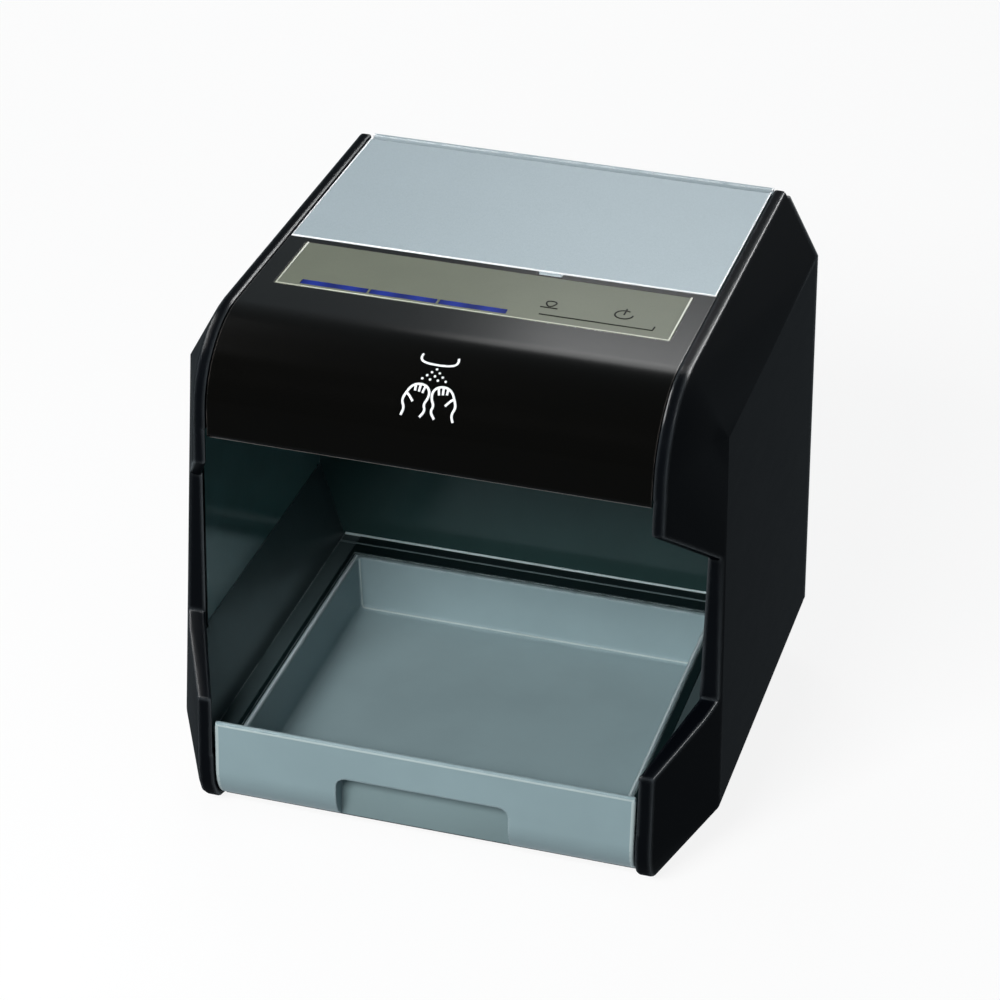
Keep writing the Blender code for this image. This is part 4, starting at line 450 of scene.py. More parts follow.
@dataclass(frozen=True)
class Metal(Finish):
    """Turned or drawn metal with fine lines along one axis.

    Attributes:
        lines: how its lines are stretched along X, Y and Z.
        line_size, line_depth: width and depth of a line.
        gloss: share of its roughness that is even, and how much its lines add.
        stain_size, stain_range: width of its stains, and which clouds stain it.
        stain_share, stain_depth: how much they cover it, and how dark they are.
        edge: radius of its edges.
    """

    lines: tuple[float, float, float] = (0.05, 1.0, 1.0)
    line_size: float = 0.0006
    line_depth: float = 6e-6
    gloss: Shares = (0.7, 0.6)
    stain_size: float = 0.006
    stain_range: Shares = (0.45, 0.7)
    stain_share: float = 0.35
    stain_depth: float = 0.6
    edge: float = 0.0002

    def make(self) -> bpy.types.Material:
        """Builds the metal.

        Returns:
            Its material.
        """
        skin = Skin(self.name)
        lines = skin.noise(self.line_size, place=skin.stretched(self.lines))
        clouds = skin.noise(self.stain_size, detail=3)
        stain = clouds.between(*self.stain_range) * self.stain_share
        even, lined = self.gloss
        return skin.surface({
            "Base Color": skin.mix(stain, self.colour, shade(self.colour, self.stain_depth)),
            "Roughness": self.roughness * (even + lined * lines),
            "Normal": skin.bump(lines, self.line_depth, skin.round_edges(self.edge)),
            "Metallic": 1.0,
        })


@dataclass(frozen=True)
class Mask(Finish):
    """A circuit board's green mask over copper tracks.

    Attributes:
        track, track_height: colour and height of the mask over copper.
        pitch: distance between tracks.
        gap, run, shift, squash: how its tracks are laid, as a Brick Texture takes it.
        patch_size, patch_range: width of its patches, and which clouds have tracks.
        grain: how much its roughness changes.
    """

    track: Colour = (0.03, 0.16, 0.05)
    track_height: float = 40e-6
    pitch: float = 0.0024
    gap: float = 0.12
    run: float = 3.0
    shift: float = 0.37
    squash: float = 2.0
    patch_size: float = 0.008
    patch_range: Shares = (0.42, 0.5)
    grain: float = 0.1

    def make(self) -> bpy.types.Material:
        """Builds the board's face.

        Returns:
            Its material.
        """
        skin = Skin(self.name)
        laid = {"offset": self.shift, "squash": self.squash}
        values = {"Vector": skin.place, "Scale": 1 / self.pitch, "Mortar Size": self.gap}
        values["Brick Width"] = self.run
        bricks = skin.node("ShaderNodeTexBrick", laid, values)["Fac"]
        copper = bricks * skin.noise(self.patch_size, detail=1).between(*self.patch_range)
        return skin.surface({
            "Base Color": skin.mix(copper, self.colour, self.track),
            "Roughness": self.roughness + self.grain * skin.noise(self.patch_size / 2),
            "Normal": skin.bump(copper, self.track_height),
        })


@dataclass(frozen=True)
class Glow(Finish):
    """A lit bar: coloured plastic that shines from within, brighter over its lamps.

    Attributes:
        light, strength: the light it gives off.
        dim_colour, dim_light: share of its colour and light that is left between lamps.
        specular: strength of its plain reflection.
        grain, grain_size: how much its roughness changes, and over what width.
        lamp_pitch: distance between the lamps under it.
        wave_unit: how many bands the wave pattern has at a scale of 1.
    """

    light: Colour = (0.01, 0.03, 0.4)
    strength: float = 0.8
    dim_colour: float = 0.7
    dim_light: float = 0.45
    specular: float = 0.01
    grain: float = 0.05
    grain_size: float = 0.003
    lamp_pitch: float = 0.0168
    wave_unit: float = 3.2

    def make(self) -> bpy.types.Material:
        """Builds the lit plastic.

        Returns:
            Its material.
        """
        skin = Skin(self.name)
        values = {"Vector": skin.place, "Distortion": 0.0}
        values["Scale"] = 1 / self.lamp_pitch / self.wave_unit
        wave = skin.node("ShaderNodeTexWave", {"bands_direction": "X"}, values)["Fac"]
        return skin.surface({
            "Base Color": skin.mix(wave, shade(self.colour, self.dim_colour), self.colour),
            "Roughness": self.roughness + self.grain * skin.noise(self.grain_size),
            "Specular IOR Level": self.specular,
            "Emission Color": skin.mix(wave, shade(self.light, self.dim_light), self.light),
            "Emission Strength": self.strength,
        })


COVER = Moulded(
    "satin_black_cover", "cover_black", (0.0010, 0.0014, 0.0023), 0.5, specular=0.001,
    edge=0.0020, grain_height=8e-6, wear_and_highlight=0.5, worn_and_highlight_colour=(0.020, 0.025, 0.033), coat=0.017,
    coat_roughness=0.2, coat_ior=2.4, polish=0.42,
)
REAR = Moulded(
    "textured_black_rear", "cover_black", (0.0085, 0.0092, 0.0105), 0.6, specular=0.2,
    edge=0.001, grain_size=0.0009, grain_height=40e-6, wear_and_highlight=0.4, worn_and_highlight_colour=(0.03, 0.033, 0.037),
)
HOOD = Moulded(
    "gloss_brown_hood", "hood_gloss", (0.0010, 0.0008, 0.0005), 0.19, specular=0.032,
    grain_size=0.0022, grain_height=2e-6, edge=0.0006, wear_and_highlight=0.5, worn_and_highlight_colour=(0.12, 0.10, 0.09),
    polish=0.4,
)
# Painted highlight along the hood's lower edge.
HOOD_EDGE_HIGHLIGHT = Moulded(
    "hood_lower_edge_painted_highlight", "hood_gloss", (0.14, 0.12, 0.108), 0.3, edge=0.0001, wear_and_highlight=0.0,
)
HOOD_PRINT = Moulded(
    "hood_print", "hood_gloss", (0.82, 0.83, 0.84), 0.45, edge=0.0001, wear_and_highlight=0.0,
)
WINDOW = Moulded(
    "olive_window", "window_olive", (0.150, 0.162, 0.122), 0.24, specular=0.021,
    grain_size=0.003, grain_height=2e-6, edge=0.0003, wear_and_highlight=0.0, mottle=0.03, flake=0.12,
)
WINDOW_PRINT = Moulded(
    "window_print", "window_olive", (0.012, 0.012, 0.010), 0.5, specular=0.02, edge=0.0001,
    wear_and_highlight=0.0,
)
# Painted highlight along the window's edges.
WINDOW_BORDER_HIGHLIGHT = Moulded(
    "window_edge_painted_highlight", "window_olive", (0.46, 0.46, 0.37), 0.3, edge=0.0001, wear_and_highlight=0.0,
)
LIT_BAR = Glow(
    "lit_bar", "light_blue", (0.004, 0.009, 0.075), 0.3, light=(0.006, 0.02, 0.2), strength=1.0,
)
# The near-white colour at its edges is a painted highlight along the lid's rounded edges.
SILVER = Moulded(
    "silver_lid", "lid_silver", (0.303, 0.359, 0.386), 0.42, specular=0.060, metallic=0.05,
    flake=0.3, grain_size=0.0009, grain_height=5e-6, edge=0.001, wear_and_highlight=0.95,
    worn_and_highlight_colour=(0.85, 0.88, 0.9), mottle=0.012,
)
# Painted highlight along the rounded edges of the lid and of the strip behind it.
LID_EDGE_HIGHLIGHT = Moulded(
    "lid_edge_painted_highlight", "lid_silver", (0.90, 0.91, 0.92), 0.22, edge=0.0002, wear_and_highlight=0.0,
    mottle=0.01,
)
SMOKE = Moulded(
    "smoke_liner", "liner_smoke", (0.022, 0.050, 0.049), 0.15, specular=0.6, grain_size=0.004,
    grain_height=1.5e-6, edge=0.0006, wear_and_highlight=0.5, worn_and_highlight_colour=(0.12, 0.16, 0.16),
)
# Painted light: a lighter copy of the smoke liner, for the side walls, which stand in shade.
SMOKE_SIDE_LIT = replace(
    SMOKE, name="smoke_side_liner_painted_light", colour=(0.055, 0.125, 0.125), roughness=0.16,
)
# Painted shade: a dark strip on the ledge round the tray, wider on the right, where the tray's side
# stands in shadow.
BASIN_SHADE = Moulded(
    "basin_gasket", "liner_smoke", (0.004, 0.010, 0.011), 0.3, specular=0.15, edge=0.0003,
    wear_and_highlight=0.0,
)
# Its pale edge colour is partly wear, partly a painted highlight along the ledge's edges.
LEDGE = Moulded(
    "smoke_ledge", "liner_smoke", (0.046, 0.066, 0.070), 0.25, specular=0.4, grain_size=0.003,
    grain_height=2e-6, edge=0.0009, wear_and_highlight=0.7, worn_and_highlight_colour=(0.3, 0.36, 0.37),
)
# Painted highlights: a pale line at the back wall's foot, and a dim one on the ledge in front of
# it.
WALL_FOOT_HIGHLIGHT = Moulded("wall_foot_painted_highlight", "liner_smoke", (0.50, 0.60, 0.62), 0.3, wear_and_highlight=0.0)
LEDGE_DIM_HIGHLIGHT = Moulded("ledge_painted_dim_highlight", "liner_smoke", (0.07, 0.10, 0.105), 0.3, wear_and_highlight=0.0)
# Its pale edge colour is partly wear, partly a painted highlight along the tray's edges.
TRAY_GREY = Moulded(
    "tray_blue_grey", "tray_grey", (0.225, 0.305, 0.325), 0.36, specular=0.35, edge=0.0016,
    wear_and_highlight=0.7, worn_and_highlight_colour=(0.42, 0.50, 0.53), grain_size=0.0012, grain_height=5e-6, mottle=0.03,
)
# Painted highlight along the tray's front edge and back corners.
TRAY_EDGE_HIGHLIGHT = Moulded(
    "tray_edge_painted_highlight", "tray_grey", (0.37, 0.44, 0.44), 0.3, edge=0.0003, wear_and_highlight=0.0, mottle=0.03,
)
# Painted shade: a darker sheet on the finger grip's back face, where the recess stands in shade.
GRIP_SHADE = Moulded(
    "grip_recess_painted_shade", "tray_grey", (0.165, 0.228, 0.236), 0.42, edge=0.0003, wear_and_highlight=0.0,
    mottle=0.03,
)
# Painted highlight along the lips of the tray's side walls.
LIP_HIGHLIGHT = Moulded(
    "tray_lip_painted_highlight", "tray_grey", (0.46, 0.54, 0.56), 0.25, edge=0.0002, wear_and_highlight=0.0,
)
BASE = Moulded("base_matt_black", "base_black", (0.012, 0.013, 0.015), 0.6, specular=0.3)
RUBBER = Moulded(
    "foot_rubber", "rubber_black", (0.010, 0.010, 0.010), 0.8, specular=0.25,
    grain_size=0.0004, grain_height=30e-6, wear_and_highlight=0.0,
)
MILKY = Clear("milky_tank", "tank_clear", (0.88, 0.92, 0.94), 0.38, transmission=0.75)
HOSE = Clear(
    "clear_hose", "tube_clear", (0.82, 0.87, 0.86), 0.18, transmission=0.8, ior=1.42,
)
CAP_WHITE = Moulded(
    "cap_white_gloss", "cap_white", (0.72, 0.73, 0.72), 0.3, wear_and_highlight=0.1, worn_and_highlight_colour=(0.8, 0.8, 0.8),
)
GREEN = Mask("board_mask", "board_green", (0.012, 0.075, 0.022), 0.3)
SCREW_BLACK = Metal("blackened_screws", "steel", (0.13, 0.13, 0.14), 0.35)
STEEL = Metal("plated_steel", "steel", (0.58, 0.58, 0.57), 0.28)
PADS = Metal("tinned_pads", "steel", (0.72, 0.72, 0.70), 0.3, lines=(1.0, 1.0, 1.0))
PUMP_GREY = Moulded("pump_grey_plastic", "pump_grey", (0.16, 0.17, 0.18), 0.42)
CREAM = Moulded("gear_cream_acetal", "gear_cream", (0.70, 0.66, 0.53), 0.35, wear_and_highlight=0.0)
LENS = Moulded(
    "sensor_dark_lens", "lens_dark", (0.012, 0.003, 0.004), 0.06, specular=0.7, wear_and_highlight=0.0,
)
CONNECTOR = Moulded(
    "connector_ivory", "gear_cream", (0.72, 0.69, 0.6), 0.45, edge=0.0002, wear_and_highlight=0.0,
)


def new_object(name: str, mesh: bpy.types.Mesh) -> bpy.types.Object:
    """Links a mesh to the scene.

    Args:
        name: the object's name.
        mesh: its mesh.

    Returns:
        The object.
    """
    made = bpy.data.objects.new(name, mesh)
    bpy.context.scene.collection.objects.link(made)
    return made


def evaluated_mesh(holder: bpy.types.Object) -> bpy.types.Mesh:
    """Applies an object's modifiers.

    Args:
        holder: the object, which is removed.

    Returns:
        Its plain mesh.
    """
    graph = bpy.context.evaluated_depsgraph_get()
    mesh = bpy.data.meshes.new_from_object(holder.evaluated_get(graph))
    bpy.data.objects.remove(holder)
    return mesh


def written(work: bmesh.types.BMesh, mesh: bpy.types.Mesh) -> bpy.types.Mesh:
    """Writes mesh work into a mesh.

    Args:
        work: the work, which is freed.
        mesh: the mesh that takes it.

    Returns:
        The mesh.
    """
    work.to_mesh(mesh)
    work.free()
    return mesh


def wire_mesh(name: str, lines: Sequence[Sequence[Vector]]) -> bpy.types.Mesh:
    """Open edges through points, as a recipe's seed.

    Args:
        name: the mesh's name.
        lines: the lines' points; a line of one point stays a point.

    Returns:
        The mesh.
    """
    points, edges = [], []
    for line in lines:
        first = len(points)
        points += [tuple(p) for p in line]
        edges += [(first + k, first + k + 1) for k in range(len(line) - 1)]
    mesh = bpy.data.meshes.new(name)
    mesh.from_pydata(points, edges, [])
    return mesh


def settle(piece: bpy.types.Object, finish: Finish, body: Body = Body.CHASSIS) -> None:
    """Paints a piece, and lets it ride a body.

    Args:
        piece: the finished mesh object.
        finish: its finish.
        body: the body it moves with.
    """
    piece.data.materials.clear()
    piece.data.materials.append(finish.material())
    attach(piece, body.value)
    LOG.info("%s rides on %s", piece.name, body.value)


class Recipe(Tree):
    """A Geometry Nodes tree with named inputs, which ends in realised, painted geometry."""

    def __init__(self, name: str, inputs: dict[str, float | int]) -> None:
        """Starts the tree.

        Args:
            name: the tree's name.
            inputs: its named inputs with their values; a whole number makes a whole input.
        """
        super().__init__(bpy.data.node_groups.new(name, "GeometryNodeTree"))
        ports = self.group.interface
        ports.new_socket("Geometry", in_out="INPUT", socket_type="NodeSocketGeometry")
        self.sizes = {}
        for label, size in inputs.items():
            kind = "NodeSocketInt" if isinstance(size, int) else "NodeSocketFloat"
            port = ports.new_socket(label, in_out="INPUT", socket_type=kind)
            self.sizes[port.identifier] = size
        ports.new_socket("Geometry", in_out="OUTPUT", socket_type="NodeSocketGeometry")
        self.given = self.node("NodeGroupInput")

    def end(self, geometry: Sock, finish: Finish) -> None:
        """Realises, paints and gives out the geometry.

        Args:
            geometry: what the tree has made.
            finish: its finish.
        """
        solid = self.node("GeometryNodeRealizeInstances", {}, {"Geometry": geometry})["Geometry"]
        values = {"Geometry": solid, "Material": finish.material()}
        painted = self.node("GeometryNodeSetMaterial", {}, values)
        self.node("NodeGroupOutput", {}, {"Geometry": painted["Geometry"]})

    def grow(self, name: str, seed: bpy.types.Mesh) -> bpy.types.Object:
        """Runs the tree on a mesh.

        Args:
            name: the new piece's name.
            seed: the mesh it starts from.

        Returns:
            A plain mesh object.
        """
        holder = new_object(name + "_seed", seed)
        modifier = holder.modifiers.new("recipe", "NODES")
        modifier.node_group = self.group
        for identifier, size in self.sizes.items():
            modifier[identifier] = size
        return new_object(name, evaluated_mesh(holder))


def beads(
    name: str, lines: Sequence[Sequence[Vector]], radius: float, finish: Finish,
    body: Body = Body.CHASSIS,
) -> None:
    """Round beads along lines, half sunk in what carries them.

    Args:
        name: the piece's name.
        lines: the lines' points.
        radius: the beads' radius.
        finish: their finish.
        body: the body they ride on.
    """
    recipe = Recipe("beads", {"Radius": radius, "Steps": BEAD_STEPS})
    path = recipe.node("GeometryNodeMeshToCurve", {}, {"Mesh": recipe.given["Geometry"]})["Curve"]
    sizes = {"Resolution": recipe.given["Steps"], "Radius": recipe.given["Radius"]}
    ring = recipe.node("GeometryNodeCurvePrimitiveCircle", {}, sizes)["Curve"]
    values = {"Curve": path, "Profile Curve": ring, "Fill Caps": True}
    recipe.end(recipe.node("GeometryNodeCurveToMesh", {}, values)["Mesh"], finish)
    settle(recipe.grow(name, wire_mesh(name + "_lines", lines)), finish, body)


def repeated(
    name: str, places: Sequence[Vector], form: str, sizes: dict[str, float | int],
    finish: Finish, body: Body = Body.CHASSIS,
) -> None:
    """One small form at each of many points.

    Args:
        name: the piece's name.
        places: the middles of the forms.
        form: the type of the node that makes one of them.
        sizes: that node's sizes by their names, which the recipe's inputs share.
        finish: their finish.
        body: the body they ride on.
    """
    recipe = Recipe("repeated", sizes)
    one = recipe.node(form, {}, {label: recipe.given[label] for label in sizes})["Mesh"]
    values = {"Points": recipe.given["Geometry"], "Instance": one}
    recipe.end(recipe.node("GeometryNodeInstanceOnPoints", {}, values)["Instances"], finish)
    seed = wire_mesh(name + "_points", [[place] for place in places])
    settle(recipe.grow(name, seed), finish, body)


def balls(name: str, places: Sequence[Vector], radius: float, finish: Finish) -> None:
    """Small balls on the chassis, half sunk in what carries them."""
    sizes = {"Segments": BALL_STEPS, "Rings": BALL_RINGS, "Radius": radius}
    repeated(name, places, "GeometryNodeMeshUVSphere", sizes, finish)


def rods(
    name: str, places: Sequence[Vector], radius: float, length: float, finish: Finish,
    body: Body = Body.CHASSIS,
) -> None:
    """Upright rods centred at points, for ribs and lamps."""
    sizes = {"Vertices": ROD_SIDES, "Radius": radius, "Depth": length}
    repeated(name, places, "GeometryNodeMeshCylinder", sizes, finish, body)


def round_off(work: bmesh.types.BMesh, edge: float) -> None:
    """Rounds all edges.

    Args:
        work: the mesh work.
        edge: the radius of its edges.
    """
    bmesh.ops.bevel(
        work, geom=work.edges[:], offset=edge, segments=ROUND_STEPS, profile=ROUND_PROFILE,
        affect="EDGES", clamp_overlap=True,
    )


def block(
    name: str, low: Sequence[float], high: Sequence[float], edge: float, finish: Finish,
    body: Body = Body.CHASSIS,
) -> None:
    """A box between two corners with rounded edges.

    Args:
        name: the piece's name.
        low: its lowest corner.
        high: its highest corner.
        edge: the radius of its edges.
        finish: its finish.
        body: the body it rides on.
    """
    work = bmesh.new()
    bmesh.ops.create_cube(work, size=1.0)
    middle = (Vector(low) + Vector(high)) / 2
    span = Vector(high) - Vector(low)
    for point in work.verts:
        point.co = middle + Vector(a * b for a, b in zip(point.co, span))
    round_off(work, edge)
    for face in work.faces:
        face.smooth = True
    settle(new_object(name, written(work, bpy.data.meshes.new(name))), finish, body)


def at_level(line: Line, level: float) -> list[Vector]:
    """The points of a flat line at that height."""
    return [Vector((x, y, level)) for x, y in line]


def row(start: Vector, pitch: float, count: int) -> list[Vector]:
    """Points along X, a pitch apart."""
    return [start + Vector((pitch * k, 0, 0)) for k in range(count)]


def ring(middle: Vector, radius: float, count: int, turn: float = 0.0) -> list[Vector]:
    """Points round an upright axis; turn is how many steps the first one is on from X."""
    angles = [2 * math.pi * (k + turn) / count for k in range(count)]
    return [middle + radius * Vector((math.cos(a), math.sin(a), 0)) for a in angles]


def node_surface(node: str) -> BVHTree:
    """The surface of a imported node, for rays.

    Args:
        node: the node.

    Returns:
        Its faces, as a tree that rays are cast at.
    """
    mesh = frame["nodes"][node].data
    return BVHTree.FromPolygons(
        [v.co for v in mesh.vertices], [tuple(p.vertices) for p in mesh.polygons]
    )


@dataclass(frozen=True)
class Twin:
    """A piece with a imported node's own shape, merged and shaded smoothly, which stands for it.

    Attributes:
        node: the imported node.
        name: the piece's name.
        finish: its finish.
        sharp: the angle in degrees past which an edge stays sharp.
        trim: how far under the node's top the piece ends.
    """

    node: str
    name: str
    finish: Finish
    sharp: float = 32.0
    trim: float = 0.0

    def cut_top(self, work: bmesh.types.BMesh) -> None:
        """Cuts off the top and closes the cut.

        Args:
            work: the node's shape.
        """
        parts = [*work.verts, *work.edges, *work.faces]
        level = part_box(self.node)[1].z - self.trim
        cut = bmesh.ops.bisect_plane(
            work, geom=parts, plane_co=(0, 0, level), plane_no=(0, 0, 1), clear_outer=True
        )
        rim = [part for part in cut["geom_cut"] if isinstance(part, bmesh.types.BMEdge)]
        bmesh.ops.holes_fill(work, edges=rim)

    def make(self) -> None:
        """Makes the piece."""
        source = frame["nodes"][self.node]
        mesh = bpy.data.meshes.new(self.name)
        points = [tuple(v.co) for v in source.data.vertices]
        mesh.from_pydata(points, [], [tuple(p.vertices) for p in source.data.polygons])
        work = bmesh.new()
        work.from_mesh(mesh)
        bmesh.ops.remove_doubles(work, verts=work.verts, dist=MERGE)
        bmesh.ops.dissolve_limit(
            work, angle_limit=FLAT, verts=work.verts, edges=work.edges,
            use_dissolve_boundaries=False,
        )
        if self.trim:
            self.cut_top(work)
        limit = math.radians(self.sharp)
        for edge in work.edges:
            edge.smooth = len(edge.link_faces) == 2 and edge.calc_face_angle() < limit
        for face in work.faces:
            face.smooth = True
        holder = new_object(self.name + "_holder", written(work, mesh))
        weights = holder.modifiers.new("weights", "WEIGHTED_NORMAL")
        weights.keep_sharp = True
        weights.weight = NORMAL_WEIGHT
        piece = new_object(self.name, evaluated_mesh(holder))
        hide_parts(self.node)
        settle(piece, self.finish, Body(source["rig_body"]))


Twins = tuple[Twin, ...]
Kept = tuple[tuple[str, Finish], ...]


@dataclass
class Assembly:
    """What every sub-assembly has.

    Attributes:
        twins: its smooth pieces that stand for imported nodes.
        kept: its nodes that stay as packed, each with its finish.
    """

    twins: Twins = ()
    kept: Kept = ()

    def build(self) -> None:
        """Makes the twins, then the pieces of its own."""
        for twin in self.twins:
            twin.make()
        self.add()

    def add(self) -> None:
        """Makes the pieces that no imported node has; some sub-assemblies have none."""

    def dress(self) -> None:
        """Gives the nodes that stay as packed a better material."""
        for node, finish in self.kept:
            for holder in frame["nodes"][node].material_slots:
                holder.material = finish.material()
            LOG.info("%s dressed", node)


@dataclass
class Housing(Assembly):
    """The two side covers, the rear cover, the base plate, the feet and the screws.

    The rear cover ends 4.2 mm lower than packed, to seat the silver strip behind the lid.
    """

    twins: Twins = (
        *(Twin(f"side_cover_{side}", f"cover_shell_{side}", COVER, sharp=24.0) for side in SIDES),
        Twin("rear_cover", "rear_panel", REAR, trim=4.2 * MM),
        *(
            Twin(f"foot_{end}_{side}", f"rubber_foot_{end}_{side}", RUBBER)
            for end in ("front", "rear") for side in SIDES
        ),
    )
    kept: Kept = (
        ("base_plate", BASE),
        *(
            (f"{row}_{side}", SCREW_BLACK)
            for row in ("base_screw", "rear_screw_lower", "rear_screw_upper") for side in SIDES
        ),
    )


@dataclass
class WindowMarks:
    """A pale painted highlight along the window's border, the dark bracket and two small plain
    signs on the window.

    Attributes:
        side, front, back: where the highlight's runs lie.
        highlight_bead, highlight_sink: its radius, and how far under the top its middle lies.
        sign_bead, sign_sink: the same of the signs.
        bracket: points of the bracket.
        drop, drop_half: middle of the drop, and half its width and height.
        drop_lean: how much narrower it gets to its tip, and how much longer.
        foot: ends of the line under the drop.
        ring, ring_radius: middle and radius of the open ring.
        ring_start, ring_turn: where the ring starts and how far it goes, in degrees.
        bar: length of the bar in its opening.
        steps: steps of each round line.
    """

    side: float = 94.0 * MM
    front: float = -57.1 * MM
    back: float = -11.0 * MM
    highlight_bead: float = 0.62 * MM
    highlight_sink: float = 0.4 * MM
    sign_bead: float = 0.45 * MM
    sign_sink: float = 0.12 * MM
    bracket: Line = ((0.0311, -0.0500), (0.0846, -0.0500), (0.0849, -0.0462))
    drop: tuple[float, float] = (0.0338, -0.0380)
    drop_half: tuple[float, float] = (0.0023, 0.0028)
    drop_lean: tuple[float, float] = (0.25, 0.15)
    foot: Line = ((0.0297, -0.0425), (0.0379, -0.0425))
    ring: tuple[float, float] = (0.0685, -0.0385)
    ring_radius: float = 4.2 * MM
    ring_start: float = 60.0
    ring_turn: float = 300.0
    bar: float = 6.0 * MM
    steps: int = 24

    def rounds(self) -> list[Line]:
        """The drop, the ring and its bar.

        Returns:
            Their points.
        """
        (x, y), (wide, high), (narrow, long) = self.drop, self.drop_half, self.drop_lean
        shares = [k / self.steps for k in range(self.steps + 1)]
        turns = [(math.sin(a), math.cos(a)) for a in (2 * math.pi * share for share in shares)]
        drop = [(x + wide * s * (1 - narrow * c), y - high * c * (1 + long * c)) for s, c in turns]
        x, y = self.ring
        angles = [math.radians(self.ring_start + self.ring_turn * share) for share in shares]
        reach = self.ring_radius
        ring = [(x + reach * math.cos(a), y + reach * math.sin(a)) for a in angles]
        return [drop, ring, [(x, y), (x, y + self.bar)]]

    def draw(self) -> None:
        """Draws the painted highlight along the border, and the signs, on the window's top."""
        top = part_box("control_window")[1].z
        side, front, back = self.side, self.front, self.back
        highlight_runs = [[(-side, back), (-side, front), (side, front), (side, back)]]
        signs = [self.bracket, *self.rounds(), self.foot]
        for name, lines, sink, bead, finish in (
            ("window_border_highlight_line", highlight_runs, self.highlight_sink, self.highlight_bead, WINDOW_BORDER_HIGHLIGHT),
            ("window_signs", signs, self.sign_sink, self.sign_bead, WINDOW_PRINT),
        ):
            beads(name, [at_level(line, top - sink) for line in lines], bead, finish)


def finely(line: Line, pitch: float) -> Line:
    """Adds points to a line.

    Args:
        line: the line.
        pitch: the longest step that stays.

    Returns:
        The line with the points that it needs.
    """
    made = [line[0]]
    for (x0, y0), (x1, y1) in zip(line, line[1:]):
        count = max(1, math.ceil(math.hypot(x1 - x0, y1 - y0) / pitch))
        shares = [k / count for k in range(1, count + 1)]
        made += [(x0 + (x1 - x0) * share, y0 + (y1 - y0) * share) for share in shares]
    return made


def rounded_line(line: Line, rounds: int = 2) -> Line:
    """Cuts a line's corners until they look round; its ends stay.

    Args:
        line: the line.
        rounds: how often they are cut.

    Returns:
        The rounded line.
    """
    for _ in range(rounds):
        made = [line[0]]
        for (x0, y0), (x1, y1) in zip(line, line[1:]):
            for near, far in ((1 - CORNER_CUT, CORNER_CUT), (CORNER_CUT, 1 - CORNER_CUT)):
                made.append((near * x0 + far * x1, near * y0 + far * y1))
        line = [*made, line[-1]]
    return line


